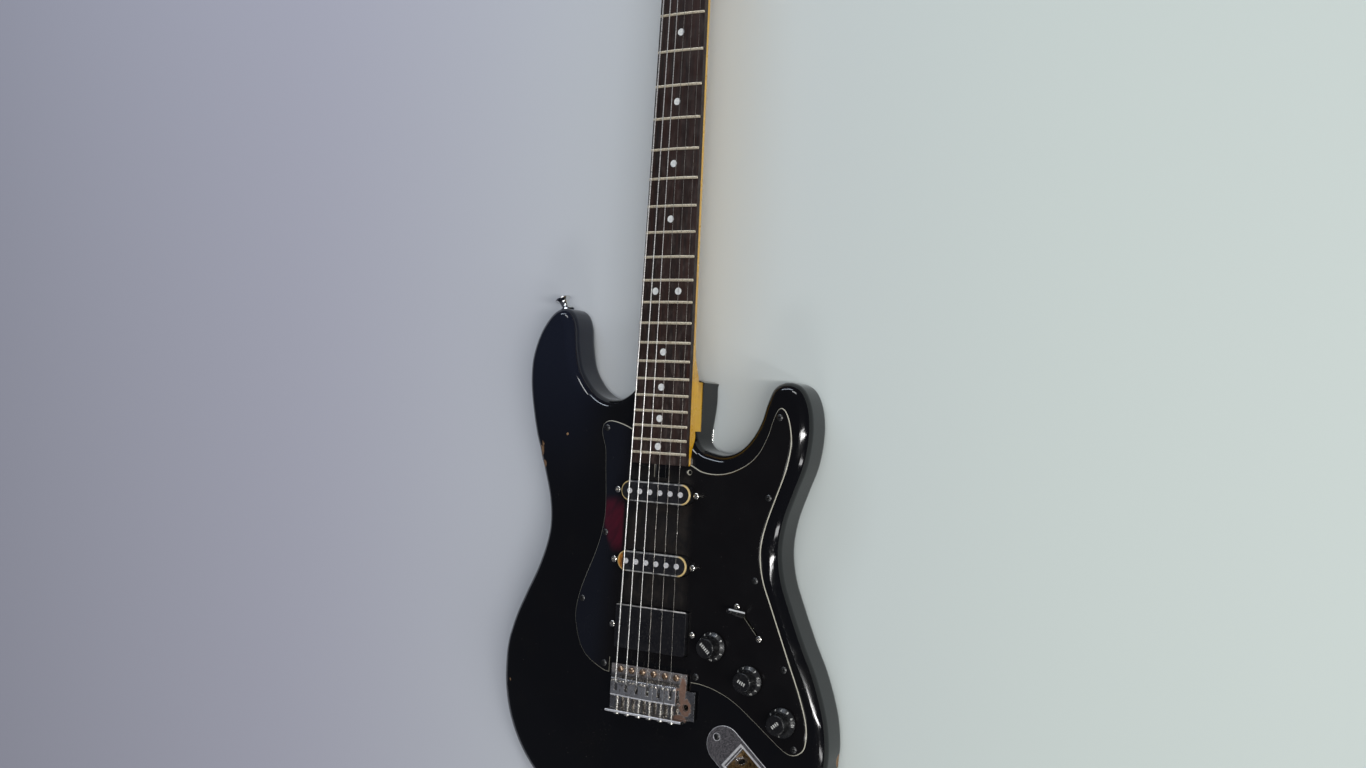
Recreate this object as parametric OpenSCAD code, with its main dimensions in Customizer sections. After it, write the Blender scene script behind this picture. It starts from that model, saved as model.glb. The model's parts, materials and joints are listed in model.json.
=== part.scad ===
// A broken solid-body electric guitar, laid on its back.
// +X is the treble side, +Y runs up the neck and +Z is the face.
// The origin lies under the saddle line, on the plane that the back plates rest on.

/* [Scale] */
// Saddle line to the nut
scale_len = 648; // [530:1:780]
// Number of frets
fret_count = 21; // [17:1:22]
// Fingerboard past the last fret
board_overhang = 9.6; // [6:0.1:14]

/* [Body] */
// Widest part of the lower bout
body_w = 331; // [270:1:400]
// Thickness of the body
body_t = 43; // [37:1:53]
// Radius of the rounded edges
edge_round = 11; // [6:0.5:12]
// Thickness of the plates on the back
back_plate_t = 2; // [1.5:0.1:3]
// Length of the neck pocket
heel_len = 75; // [60:1:80]
// Wood between the spring cavity and the face
web_t = 24; // [20:1:26]

/* [Pickguard] */
// Thickness of the pickguard
guard_t = 2.3; // [1.5:0.1:3]
// Gap between the pickguard and what passes through it
guard_gap = 0.6; // [0.3:0.1:1]

/* [Neck] */
// Width of the neck at the heel
heel_w = 56; // [50:0.5:60]
// Width of the neck at the nut
nut_w = 42.9; // [38:0.1:48]
// Thickness of the maple at the heel
heel_t = 19; // [16:0.5:22]
// Thickness of the fingerboard
board_t = 6.4; // [4:0.1:8]
// Radius of the fingerboard's face
board_r = 240; // [180:1:400]
// Fingerboard face above the body's face
board_rise = 9.8; // [9:0.1:12]
// Thickness of the headstock
head_t = 14; // [12:0.5:16]
// Height of the frets
fret_h = 1.1; // [0.8:0.1:1.4]
// Width of the frets
fret_w = 2.3; // [1.8:0.1:2.8]

/* [Strings] */
// Spread of the strings at the saddles
spread_bridge = 55; // [50:0.5:58]
// Spread of the strings at the nut
spread_nut = 35.5; // [32:0.5:37]
// Middle of the strings above the fingerboard at the saddles
string_rise_bridge = 5.2; // [4.4:0.1:6]
// Middle of the strings above the fingerboard at the nut
string_rise_nut = 1.9; // [1.6:0.1:2.4]

/* [Pickups] */
// Length of a single-coil cover
coil_cover_l = 69.6; // [64:0.1:74]
// Width of a single-coil cover
coil_cover_w = 18; // [16:0.1:20]
// Wall of a pickup cover
cover_wall = 1.2; // [0.8:0.1:1.6]
// Single-coil cover above the body's face
coil_cover_rise = 10.6; // [7:0.1:11]
// Screw spacing of a single coil
coil_screw_span = 79; // [76:0.1:84]
// Length of the bridge pickup cover
block_cover_l = 71; // [66:0.1:74]
// Width of the bridge pickup cover
block_cover_w = 38; // [34:0.1:40]
// Bridge pickup cover above the body's face
block_cover_rise = 7; // [5:0.1:9]
// Screw spacing of the bridge pickup
block_screw_span = 80.5; // [78:0.1:86]

/* [Tremolo] */
// Length of the base plate's front part
plate_l = 75.4; // [72:0.1:80]
// Thickness of the base plate
plate_t = 2.3; // [1.8:0.1:3]
// Gap between the base plate and the body
plate_gap = 2; // [1.8:0.1:3]
// Spread of the pivot screws
pivot_span = 56.3; // [50:0.1:60]
// Radius of the arm socket's thread
arm_r = 2.5; // [2:0.1:3]
// Thickness of the tremolo block
block_t = 12; // [10:0.5:14]
// Radius of a tremolo spring
spring_r = 4; // [3:0.1:4.5]

/* [Controls] */
// Radius of a knob's skirt
skirt_r = 12.6; // [10:0.1:14]
// Height of a knob
knob_h = 14.5; // [12:0.5:18]
// Radius of a control shaft
shaft_r = 3; // [2.5:0.1:3.5]
// Running clearance of a shaft in its hole
run_gap = 0.05; // [0.03:0.01:0.1]
// Depth of the lever's pivot under the pickguard's face
lever_depth = 27; // [22:1:33]
// Lean of the lever at its neck end
lever_lean = 18; // [12:1:22]

/* [Jack] */
// Radius of the plug's bore
jack_r = 3.2; // [3.2:0.01:3.4]
// Length of the jack plate
jack_plate_l = 76; // [70:1:84]
// Width of the jack plate
jack_plate_w = 33; // [30:1:36]

/* [Tuners] */
// Distance between tuners along the headstock
tuner_pitch = 25.8; // [23:0.1:30]
// Radius of a tuner post
post_r = 3; // [2.5:0.1:3.4]

/* [Hidden] */
$fn = 40;
e = 0.01;
cut = 1;
strings_n = 6;

// Levels, from the rest plane up
z_back = back_plate_t;
z_top = z_back + body_t;
z_guard = z_top + guard_t;
z_board = z_top + board_rise;
z_neck = z_board - board_t;
z_pocket = z_neck - heel_t;
z_plate = z_top + plate_gap;
z_plate_top = z_plate + plate_t;
z_head = z_neck - 3;
z_web = z_top - web_t;

// Fret places and the end of the neck
function fret_y(n) = scale_len * pow(2, -n / 12);
board_end = fret_y(fret_count) - board_overhang;
heel_top = board_end + heel_len;
function neck_half(y) = (heel_w + (nut_w - heel_w) * (y - board_end) / (scale_len - board_end)) / 2;
pocket_gap = 0.15;
pocket_half = heel_w / 2 + pocket_gap;

// Places on the face follow the body's width outside the bridge and the neck's end above it
core_half = 45;
drawn_half = 165.5;
drawn_end = 183.05;
width_k = (body_w / 2 - core_half) / (drawn_half - core_half);
length_k = board_end / drawn_end;
function wide(x) = abs(x) <= core_half ? x : sign(x) * (core_half + (abs(x) - core_half) * width_k);
function long(y) = y <= 0 ? y : y * length_k;
function on_face(p) = [wide(p[0]), long(p[1])];
function on_face_all(pts) = [for (p = pts) on_face(p)];

// A smooth closed curve through points
function blend(a, b, c, d, t) = 0.5 * (2 * b + (c - a) * t + (2 * a - 5 * b + 4 * c - d) * t * t
    + (3 * b - a - 3 * c + d) * t * t * t);
function smooth(pts, steps) = [for (i = [0 : len(pts) - 1], k = [0 : steps - 1])
    blend(pts[(i + len(pts) - 1) % len(pts)], pts[i], pts[(i + 1) % len(pts)],
        pts[(i + 2) % len(pts)], k / steps)];

// Body outline, from the bottom up the treble side and back down the bass side
body_points = concat(
    on_face_all([[0, -149], [52, -146], [100, -134], [138, -109], [159, -80], [165.5, -50],
        [163, -18], [152, 16], [139.6, 41.5], [127.5, 69], [118, 93.5], [114.3, 118],
        [117.4, 142.4], [125.5, 166.8], [134, 191.3], [137.2, 218], [134.3, 240], [126, 254.5],
        [113, 259], [101, 254], [94.5, 240], [90, 225], [82, 210.5], [71, 199.5], [58, 194.5],
        [45, 195.5]]),
    [[35, board_end + 15.5], [29.6, board_end + 22], [pocket_half, board_end + 32],
        [pocket_half, heel_top - 8], [pocket_half - 4, heel_top - 0.5], [4 - pocket_half, heel_top - 0.5],
        [-29.5, heel_top - 7], [-37, heel_top - 14]],
    on_face_all([[-50, 238.5], [-64, 237.5], [-77, 242.5], [-88, 252.5], [-97, 267],
        [-101.5, 287], [-103.5, 304], [-109, 316], [-119, 320], [-131, 314], [-143, 297],
        [-150.5, 274], [-151.2, 250], [-146.5, 222], [-138, 190.5], [-129, 166], [-122.3, 143],
        [-120.3, 121], [-123.4, 102], [-131.5, 79], [-142.6, 56], [-153.9, 30], [-162, 0],
        [-165.5, -34], [-160.5, -66], [-146, -95], [-122, -119], [-88, -137], [-45, -146.5]]));

// Pickguard outline in the same order, drawn across the neck and the bridge, which are cut out
guard_points = on_face_all([[40, -1.6], [55.7, -2.7], [70, -6.6], [84.2, -13], [101.5, -24.7],
    [115.8, -35], [128.6, -43.8], [136.5, -46.6], [143.5, -44.9], [148.9, -39], [150.2, -27.6],
    [148.5, -15.5], [141.6, 4.6], [131.4, 28], [121.3, 51.6], [111.2, 75], [103.9, 92.7],
    [100.4, 110.3], [100.9, 125], [105.1, 142.5], [112.1, 163], [119.1, 183.5], [122.7, 201.2],
    [123, 213], [120.4, 226], [116.5, 234.5], [112, 237.3], [107.8, 234], [104.1, 224.7],
    [100.5, 213], [93.3, 198.8], [83.4, 188.8], [69.1, 181.2], [54.8, 178.2], [40.5, 179.4],
    [29, 184.5], [0, 195], [-26, 209], [-34, 213.5], [-45.5, 217.4], [-55.4, 218.8],
    [-61.4, 216.5], [-64, 211], [-63.2, 204], [-59.6, 192.5], [-58.1, 172], [-56.6, 151.4],
    [-56.5, 133.7], [-59.3, 116], [-64.9, 98.5], [-72.1, 81], [-77.6, 66.3], [-81.4, 50],
    [-81.3, 37], [-76, 19], [-67.4, 7.4], [-53, -1], [-39.6, -4], [0, -4]]);

guard_screw_points = on_face_all([[-58, 212], [-54, 119], [-74.5, 58], [-47.8, 3.8], [45.3, 4.5],
    [111.3, 229], [104.8, 161.5], [96.4, 91.6], [127, 22], [139.5, -41]]);
empty_screw_point = on_face([28.3, 177.7]);

// Pickups
function pickup_y(y) = long(y);
neck_coil_y = pickup_y(158.3);
middle_coil_y = pickup_y(97);
block_y = pickup_y(39.5);
coil_ys = [neck_coil_y, middle_coil_y];
coil_cover_h = 12.5;
z_coil_top = z_top + coil_cover_rise;
z_block_top = z_top + block_cover_rise;
pole_span = 51;
pole_r = 2.4;
pole_proud = 0.9;
pole_l = 17;
flange_t = 2.2;
z_flange = z_coil_top - coil_cover_h - flange_t;
rout_half = coil_screw_span / 2 + 6;
z_rout = z_web + 4;
z_control = min(z_back + 8, z_guard - lever_depth - 7.5);
coil_screw_proud = 6;

// Tremolo
pivot_y = 1.5;
plate_front = 5.5;
plate_rear = -33;
ear_front = -8.5;
ear_x = 46.7;
lip_h = 8.5;
lip_t = 2;
block_y0 = -12;
block_half = 36;
z_block_bottom = z_back + 9;
arm_point = [37.9, -22.5];
arm_boss_r = 5.5;
arm_boss_h = 17;
slot_front = -2.6;
slot_rear = -27;
slot_half = 39;
saddle_w = 10.5;
saddle_front = -4.8;
saddle_rear = -20.5;
saddle_t = 1.6;
pitch_bridge = spread_bridge / (strings_n - 1);
pitch_nut = spread_nut / (strings_n - 1);
function bridge_x(i) = (i - (strings_n - 1) / 2) * pitch_bridge;
function nut_x(i) = (i - (strings_n - 1) / 2) * pitch_nut;
function sag(x) = x * x / (2 * board_r);
string_r = [0.58, 0.46, 0.34, 0.22, 0.17, 0.13];
z_string_bridge = z_board + string_rise_bridge;
z_string_nut = z_board + string_rise_nut;
function saddle_top(i) = z_string_bridge - sag(bridge_x(i)) - string_r[i] - 0.1;
spring_z = z_back + 5;
cavity_half = 36;
cavity_end = long(108);
z_cavity = spring_z + 11;
claw_y = cavity_end - 13;
spring_xs = [-18, 0, 18];
claw_screw_x = 22;

// Controls
slot_point = on_face([92.6, 56.5]);
slot_turn = -48;
slot_half_l = lever_depth * tan(lever_lean) + 3.6;
switch_screw_half = slot_half_l + 4;
lever_pivot_z = z_guard - lever_depth;
knob_points = on_face_all([[60, 32.6], [95.8, 9], [128.2, -20.6]]);
knob_gap = 1.2;
pot_r = 11.5;
pot_h = 9;
bushing_r = 4.7;
pot_drop = 2;

// Jack
jack_turn = -40;
jack_point = on_face([85.5, -57]);
jack_wall = 1.2;
cup_l = 28;
cup_w = 23;
cup_near = -2;
cup_deep = [8, -12];
jack_tilt = 53.13;
plate_thick = 1.2;

// Tuners
head_end = scale_len + 190;
post_y0 = scale_len + 42;
tuner_turn = 14.5;
function post_y(i) = post_y0 + i * tuner_pitch * cos(tuner_turn);
function string_x(i, y) = nut_x(i) + (nut_x(i) - bridge_x(i)) * (y - scale_len) / scale_len;
post_top = 11;
wound_gap = 0.35;
function post_x(i) = string_x(i, post_y(i)) - post_r - wound_gap - string_r[i];
housing_h = 9.5;
z_head_back = z_head - head_t;
z_worm = z_head_back - 5;
key_reach = 29;

// ---------- Shared shapes ----------

module stadium(l, w) {
    square([l - w, w], center = true);
    for (s = [-1, 1]) translate([s * (l - w) / 2, 0]) circle(d = w);
}

module rounded(l, w, r) {
    square([l - 2 * r, w], center = true);
    square([l, w - 2 * r], center = true);
    for (a = [-1, 1], b = [-1, 1]) translate([a * (l / 2 - r), b * (w / 2 - r)]) circle(r);
}

module ring(outer, inner, h) {
    difference() {
        cylinder(h = h, r = outer);
        translate([0, 0, -cut]) cylinder(h = h + 2 * cut, r = inner);
    }
}

// A raised countersunk screw whose seat lies at z = 0, with a cross recess
module screw(head_r, shank_r, length) {
    difference() {
        rotate_extrude() polygon([[0, 0.34 * head_r], [0.5 * head_r, 0.28 * head_r],
            [0.85 * head_r, 0.13 * head_r], [head_r, 0], [shank_r, shank_r - head_r],
            [shank_r, -length], [0, -length - shank_r]]);
        for (a = [0, 90]) rotate(a) translate([0, 0, 0.34 * head_r])
            cube([head_r, 0.22 * head_r, 0.7 * head_r], center = true);
    }
}

module screw_hole(head_r, shank_r, length) {
    rotate_extrude() polygon([[0, 0.34 * head_r + 0.5], [head_r + 0.05, 0.34 * head_r + 0.5],
        [head_r + 0.05, 0], [shank_r + 0.05, shank_r - head_r],
        [shank_r + 0.05, -length - shank_r - 0.2], [0, -length - shank_r - 0.2]]);
}

// A tube or rod swept along points that lie in one plane with the X axis across it
function unit(v) = v / norm(v);
function lead(pts, i) = unit(pts[min(i + 1, len(pts) - 1)] - pts[max(i - 1, 0)]);
function side_axis(d) = unit(cross(d, abs(d[0]) > 0.9 ? [0, 1, 0] : [1, 0, 0]));
module sweep(pts, r, sides) {
    n = len(pts);
    rings = [for (i = [0 : n - 1]) let (d = lead(pts, i), u = side_axis(d), v = cross(d, u))
        for (k = [0 : sides - 1]) pts[i] + r * (cos(360 * k / sides) * u + sin(360 * k / sides) * v)];
    walls = [for (i = [0 : n - 2], k = [0 : sides - 1])
        let (a = i * sides + k, b = i * sides + (k + 1) % sides)
        for (f = [[a, a + sides, b + sides], [a, b + sides, b]]) f];
    polyhedron(rings, concat([[for (k = [0 : sides - 1]) k]], walls,
        [[for (k = [sides - 1 : -1 : 0]) (n - 1) * sides + k]]));
}

small_head = 3;
small_shank = 1.4;
small_l = 12;
large_head = 4.2;
large_shank = 2.1;
strap_l = 24;
neck_screw_l = z_pocket + 10.6;

// ---------- Body ----------

body_curve = smooth(body_points, 2);
body_n = len(body_curve);
function inward(i) = let (d = unit(body_curve[(i + 1) % body_n] - body_curve[(i + body_n - 1) % body_n]))
    [-d[1], d[0]];
function near_heel(p) = max(0, min(1, (norm([p[0], p[1] - heel_top + 10]) - 30) / 22));
function round_at(i) = 1.5 + (edge_round - 1.5) * near_heel(body_curve[i]);
// Each ring is set in from the outline and down from the face, and the last one stands above it
round_rings = [[0, 1], [0.134, 0.5], [0.5, 0.134], [1, -0.06]];
function body_ring(k, up) = [for (i = [0 : body_n - 1])
    let (r = round_at(i), p = body_curve[i] + inward(i) * r * round_rings[k][0], d = r * round_rings[k][1])
    [p[0], p[1], up ? z_top - d : z_back + d]];

module body_blank() intersection() {
    rings = concat([for (k = [3 : -1 : 0]) body_ring(k, false)],
        [for (k = [0 : 3]) body_ring(k, true)]);
    walls = [for (j = [0 : len(rings) - 2], i = [0 : body_n - 1])
        let (a = j * body_n + i, b = j * body_n + (i + 1) % body_n)
        for (f = [[a, a + body_n, b + body_n], [a, b + body_n, b]]) f];
    polyhedron([for (r = rings, p = r) p], concat([[for (i = [0 : body_n - 1]) i]], walls,
        [[for (i = [body_n - 1 : -1 : 0]) (len(rings) - 1) * body_n + i]]));
    translate([-body_w, -body_w, z_back]) cube([2 * body_w, 2 * body_w + heel_top, body_t]);
}

// The forearm slope falls away past a slanting line across the bass side
arm_line = on_face_all([[-150, 10], [-20, -100]]);
arm_start = 10;
arm_fall = 14;
module arm_slope() {
    d = unit(arm_line[1] - arm_line[0]);
    translate([arm_line[0][0], arm_line[0][1], z_top]) rotate(atan2(d[1], d[0])) translate([0, -arm_start, 0])
        rotate([arm_fall, 0, 0]) translate([-200, -400, 0]) cube([600, 400, 60]);
}

module neck_plan(y0, y1, extra) {
    polygon([[-neck_half(y0) - extra, y0], [neck_half(y0) + extra, y0],
        [neck_half(y1) + extra, y1], [-neck_half(y1) - extra, y1]]);
}

module control_plan() {
    polygon(on_face_all([[40, 14], [56, 12], [78, -2], [112, -32], [132, -34], [141.5, -30],
        [142.5, -12], [134, 4], [121, 16], [119, 34], [104, 76], [66, 82], [40, 70]]));
}

module jack_frame() {
    translate([jack_point[0], jack_point[1], z_top]) rotate(jack_turn) children();
}

strap_points = [[on_face([-125, 318.3]), 62], [[0, -149], -90]];

module strap_frame(k) {
    p = strap_points[k];
    translate([p[0][0], p[0][1], z_back + body_t / 2]) rotate(k == 0 ? 118 : -90)
        rotate([0, 90, 0]) children();
}

module body() color([0.03, 0.03, 0.035]) difference() {
    body_blank();
    arm_slope();
    // Neck pocket
    translate([0, 0, z_pocket]) linear_extrude(body_t) neck_plan(board_end - pocket_gap, heel_top + 60, pocket_gap);
    // The treble side of the neck is bare past the cutaway
    translate([0, board_end + 30, z_pocket]) cube([pocket_half + 6, heel_len, body_t]);
    // One rout under the three pickups, and the control cavity
    translate([0, 0, z_rout]) linear_extrude(body_t) translate([-rout_half, block_y - 22])
        square([2 * rout_half, neck_coil_y - block_y + 33]);
    translate([0, 0, z_control]) linear_extrude(body_t) control_plan();
    translate([-6.5, board_end - 11.5, z_rod - 5]) cube([13, 12, body_t]);
    // Slot for the tremolo block, with room for the arm boss
    translate([-slot_half, slot_rear, z_back - cut]) cube([2 * slot_half, slot_front - slot_rear, body_t + 2 * cut]);
    translate([slot_half - 9, -31.5, z_top - arm_boss_h - 4]) cube([14.5, 17.5, body_t]);
    // Spring cavity in the back
    translate([-cavity_half, slot_rear, z_back - cut]) cube([2 * cavity_half, cavity_end - slot_rear, z_cavity - z_back + cut]);
    for (s = [-1, 1]) translate([s * claw_screw_x, cavity_end - e, spring_z]) rotate([-90, 0, 0]) cylinder(h = 22, r = 1.6);
    // Jack cavity with a way to the controls
    jack_frame() translate([-22, -13, -30]) cube([52.8, 26, 31]);
    jack_frame() translate([-10, 8, -20]) rotate([-90, 0, 0]) cylinder(h = 26, r = 4);
    // Screw holes
    for (i = [0 : 5]) translate([-pivot_span / 2 + i * pivot_span / 5, pivot_y, z_top - 18]) cylinder(h = 20, r = 1.65);
    for (p = guard_screw_points) translate([p[0], p[1], z_guard]) screw_hole(small_head, small_shank, small_l);
    translate([empty_screw_point[0], empty_screw_point[1], z_guard]) screw_hole(small_head, small_shank, small_l);
    for (p = jack_screw_points) jack_frame() translate([p, 0, plate_thick]) screw_hole(small_head, small_shank, small_l);
    for (p = cover_screw_points) translate([p[0], p[1], small_head * 0.34 + 0.1]) mirror([0, 0, 1]) screw_hole(small_head, small_shank, small_l);
    for (p = neck_screw_points) translate([p[0], p[1], large_head * 0.34 + 0.1]) mirror([0, 0, 1]) screw_hole(large_head, large_shank, neck_screw_l);
    for (k = [0, 1]) strap_frame(k) cylinder(h = 2 * strap_l, r = large_shank + 0.05, center = true);
}

// ---------- Pickguard and back plates ----------

module guard_plan() {
    difference() {
        polygon(smooth(guard_points, 2));
        neck_plan(board_end - 0.3, heel_top + 60, 0.5);
        translate([-7, board_end - 12]) square([14, 14]);
        translate([-42.5, -30]) square([83, 40]);
        for (y = coil_ys) translate([0, y]) stadium(coil_cover_l + 2 * guard_gap, coil_cover_w + 2 * guard_gap);
        translate([0, block_y]) rounded(block_cover_l + 2 * guard_gap, block_cover_w + 2 * guard_gap, 2.5);
        for (y = coil_ys, s = [-1, 1]) translate([s * coil_screw_span / 2, y]) circle(1.8);
        for (s = [-1, 1]) translate([s * block_screw_span / 2, block_y]) circle(1.8);
        for (p = knob_points) translate(p) circle(bushing_r + 0.1);
        translate(slot_point) rotate(slot_turn) square([2 * slot_half_l, 2.4], center = true);
        for (s = [-1, 1]) translate(slot_point) rotate(slot_turn) translate([s * switch_screw_half, 0]) circle(1.8);
    }
}

module pickguard() color([0.04, 0.04, 0.045]) difference() {
    translate([0, 0, z_top]) linear_extrude(guard_t) guard_plan();
    for (p = concat(guard_screw_points, [empty_screw_point])) translate([p[0], p[1], z_guard])
        screw_hole(small_head, small_shank, small_l);
}

cover_l = cavity_end + 42;
cover_w = 2 * cavity_half + 16;
cover_y = (cavity_end - 26) / 2;
cover_screw_points = [for (sx = [-1, 1], sy = [-1, 0, 1]) [sx * (cover_w / 2 - 3.6), cover_y + sy * (cover_l / 2 - 4.5)]];
access_w = 7;

module back_cover() color([0.05, 0.05, 0.05]) difference() {
    translate([0, cover_y, 0]) linear_extrude(back_plate_t) rounded(cover_w, cover_l, 4);
    translate([0, block_y0, -cut]) linear_extrude(back_plate_t + 2 * cut) stadium(spread_bridge + 9, access_w);
    for (p = cover_screw_points) translate([p[0], p[1], small_head * 0.34 + 0.1]) mirror([0, 0, 1]) screw_hole(small_head, small_shank, small_l);
}

neck_plate_w = 51;
neck_plate_l = 63;
neck_plate_y = board_end + 34;
neck_screw_points = [for (sx = [-1, 1], sy = [-1, 1]) [sx * (neck_plate_w / 2 - 6.5), neck_plate_y + sy * (neck_plate_l / 2 - 6.5)]];

module neck_plate() color([0.72, 0.72, 0.7]) difference() {
    translate([0, neck_plate_y, 0]) linear_extrude(back_plate_t) rounded(neck_plate_w, neck_plate_l, 6);
    for (p = neck_screw_points) translate([p[0], p[1], large_head * 0.34 + 0.1]) mirror([0, 0, 1]) screw_hole(large_head, large_shank, neck_screw_l);
}

jack_screw_points = [7 - jack_plate_l * 0.39, jack_plate_l * 0.61 - 7];

module small_wood_screws() color([0.62, 0.6, 0.55]) {
    for (p = guard_screw_points) translate([p[0], p[1], z_guard]) screw(small_head, small_shank, small_l);
    for (p = jack_screw_points) jack_frame() translate([p, 0, plate_thick]) screw(small_head, small_shank, small_l);
    for (p = cover_screw_points) translate([p[0], p[1], small_head * 0.34 + 0.1]) mirror([0, 0, 1]) screw(small_head, small_shank, small_l);
    for (i = [0 : 1]) tree_frame(i) translate([0, 0, tree_h]) screw(2.2, 1.1, tree_h + 8);
}

module large_wood_screws() color([0.7, 0.7, 0.68]) {
    for (p = neck_screw_points) translate([p[0], p[1], large_head * 0.34 + 0.1]) mirror([0, 0, 1]) screw(large_head, large_shank, neck_screw_l);
    for (k = [0, 1]) strap_frame(k) translate([0, 0, strap_h]) screw(large_head, large_shank, strap_l);
}

strap_h = 13;

module strap_buttons() color([0.8, 0.8, 0.8]) for (k = [0, 1]) strap_frame(k) difference() {
    rotate_extrude() polygon([[large_shank + 0.05, 0.3], [7, 0.3], [6.4, 2.2], [4.2, 4.6], [3.9, 7],
        [4.6, 9.6], [6.6, 11.4], [7.4, 12.2], [7.4, strap_h], [large_shank + 0.05, strap_h]]);
    translate([0, 0, strap_h]) screw_hole(large_head, large_shank, strap_l);
}

// ---------- Neck ----------

neck_stations = [0, 6, 14, 24, 40];
section_n = 12;
bend_y = scale_len - 14;
ramp_y = scale_len + 14;
function shaft_t(y) = y < heel_top + 24 ? heel_t - (heel_t - 15.2) * pow((y - heel_top) / 24, 2)
    : 15.2 - 0.9 * (y - heel_top - 24) / (scale_len - heel_top - 24);
function shaft_p(y) = y < heel_top + 24 ? 0.35 + 0.5 * max(0, y - heel_top) / 24 : 0.85;
function shaft_top(y) = y <= scale_len + 4 ? z_neck - 0.02 : z_neck - (z_neck - z_head) * (y - scale_len - 4) / (ramp_y - scale_len - 4);
function shaft_low(y) = y <= bend_y ? z_neck - shaft_t(max(y, heel_top))
    : z_neck - shaft_t(bend_y) - (z_neck - shaft_t(bend_y) - z_head_back) * pow((y - bend_y) / (ramp_y - bend_y), 2);
shaft_ys = concat([for (s = neck_stations) heel_top - 4 + s],
    [for (k = [1 : 7]) heel_top + 36 + k * (bend_y - heel_top - 36) / 7], [scale_len - 5, scale_len + 4, ramp_y]);
function section(y) = [for (k = [0 : section_n]) let (a = 180 * k / section_n, q = shaft_p(y))
    [neck_half(min(y, scale_len + 4)) * sign(cos(a)) * pow(abs(cos(a)), q), y,
        shaft_top(y) - (shaft_top(y) - shaft_low(y)) * pow(sin(a), q)]];

module neck_shaft() {
    m = section_n + 1;
    walls = [for (j = [0 : len(shaft_ys) - 2], i = [0 : m - 1])
        let (a = j * m + i, b = j * m + (i + 1) % m)
        for (f = [[a, a + m, b + m], [a, b + m, b]]) f];
    polyhedron([for (y = shaft_ys, p = section(y)) p], concat([[for (i = [0 : m - 1]) i]], walls,
        [[for (i = [m - 1 : -1 : 0]) (len(shaft_ys) - 1) * m + i]]));
}

head_points = [[nut_w / 2, scale_len + 1], [nut_w / 2 + 1, scale_len + 12], [30, scale_len + 32],
    [38, scale_len + 52], [40, scale_len + 90], [38, scale_len + 130], [34, scale_len + 160],
    [27, scale_len + 180], [14, head_end], [4, scale_len + 184], [0.5, scale_len + 172],
    [-2.5, scale_len + 160], [-15, scale_len + 112], [-27, scale_len + 65], [-33, scale_len + 40],
    [-33, scale_len + 28], [-27, scale_len + 16], [-nut_w / 2 - 0.5, scale_len + 8],
    [-nut_w / 2, scale_len + 1]];
rod_r = 2.4;
z_rod = z_neck - 8;

module tuner_frame(i) {
    translate([post_x(i), post_y(i), 0]) rotate(-tuner_turn) children();
}

module neck() color([0.82, 0.52, 0.16]) difference() {
    union() {
        translate([0, 0, z_pocket]) linear_extrude(heel_t) neck_plan(board_end, heel_top - 2, 0.03);
        neck_shaft();
        translate([0, 0, z_head_back]) linear_extrude(head_t) polygon(smooth(head_points, 3));
    }
    translate([0, board_end - cut, z_rod]) rotate([-90, 0, 0]) cylinder(h = scale_len - board_end - 20, r = rod_r + 0.05);
    for (p = neck_screw_points) translate([p[0], p[1], large_head * 0.34 + 0.1]) mirror([0, 0, 1]) screw_hole(large_head, large_shank, neck_screw_l);
    for (i = [0 : 5]) tuner_frame(i) translate([0, 0, z_head_back - cut]) cylinder(h = head_t + 2 * cut, r = 4.65);
    for (i = [0 : 1]) tree_frame(i) translate([0, 0, tree_h]) screw_hole(2.2, 1.1, tree_h + 8);
    translate([-nut_w, scale_len - 0.4, z_neck - e]) cube([2 * nut_w, 10, 5]);
}

module board_blank(extra) {
    intersection() {
        translate([0, 0, z_neck]) linear_extrude(board_t + 3) neck_plan(board_end, scale_len - 0.5, 0);
        translate([0, board_end - cut, z_board - board_r]) rotate([-90, 0, 0])
            cylinder(h = scale_len, r = board_r + extra, $fn = 360);
    }
}

slot_w = 0.6;
slot_depth = 1.8;
dot_r = 3.1;
dot_t = 1.6;
dot_frets = [for (n = [3, 5, 7, 9, 15, 17, 19, 21]) if (n <= fret_count) n];
function dot_y(n) = (fret_y(n) + fret_y(n - 1)) / 2;
dot_places = concat([for (n = dot_frets) [0, dot_y(n)]], [for (s = [-1, 1]) [s * 11.5, dot_y(12)]]);

module dots(r, h) {
    for (p = dot_places) translate([p[0], p[1], z_board - dot_t - sag(p[0])]) cylinder(h = h, r = r);
}

module fingerboard() color([0.16, 0.09, 0.06]) difference() {
    board_blank(0);
    for (n = [1 : fret_count]) translate([-heel_w, fret_y(n) - slot_w / 2, z_board - slot_depth - sag(heel_w / 2)])
        cube([2 * heel_w, slot_w, slot_depth + 3]);
    dots(dot_r, dot_t + cut);
}

module frets() color([0.62, 0.55, 0.42]) for (n = [1 : fret_count]) intersection() {
    translate([0, 0, z_neck]) linear_extrude(20)
        polygon([for (s = [[-1, -1], [1, -1], [1, 1], [-1, 1]]) [s[0] * (neck_half(fret_y(n)) - 0.3), fret_y(n) + s[1] * fret_w]]);
    union() {
        translate([0, fret_y(n) - slot_w / 2, z_board - board_r]) rotate([-90, 0, 0])
            difference() {
                translate([0, 0, 0.02]) cylinder(h = slot_w - 0.04, r = board_r + 0.1, $fn = 360);
                translate([0, 0, -cut]) cylinder(h = 3, r = board_r - slot_depth + 0.9, $fn = 360);
            }
        translate([0, fret_y(n), z_board - board_r]) rotate([-90, 0, 0]) difference() {
            union() {
                translate([0, 0, -fret_w / 2]) cylinder(h = fret_w, r = board_r + fret_h * 0.6, $fn = 360);
                translate([0, 0, -fret_w * 0.28]) cylinder(h = fret_w * 0.56, r = board_r + fret_h, $fn = 360);
            }
            translate([0, 0, -3]) cylinder(h = 6, r = board_r + 0.03, $fn = 360);
        }
    }
}

module position_dots() color([0.85, 0.85, 0.82]) intersection() {
    dots(dot_r, dot_t + cut);
    board_blank(0);
}

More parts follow.
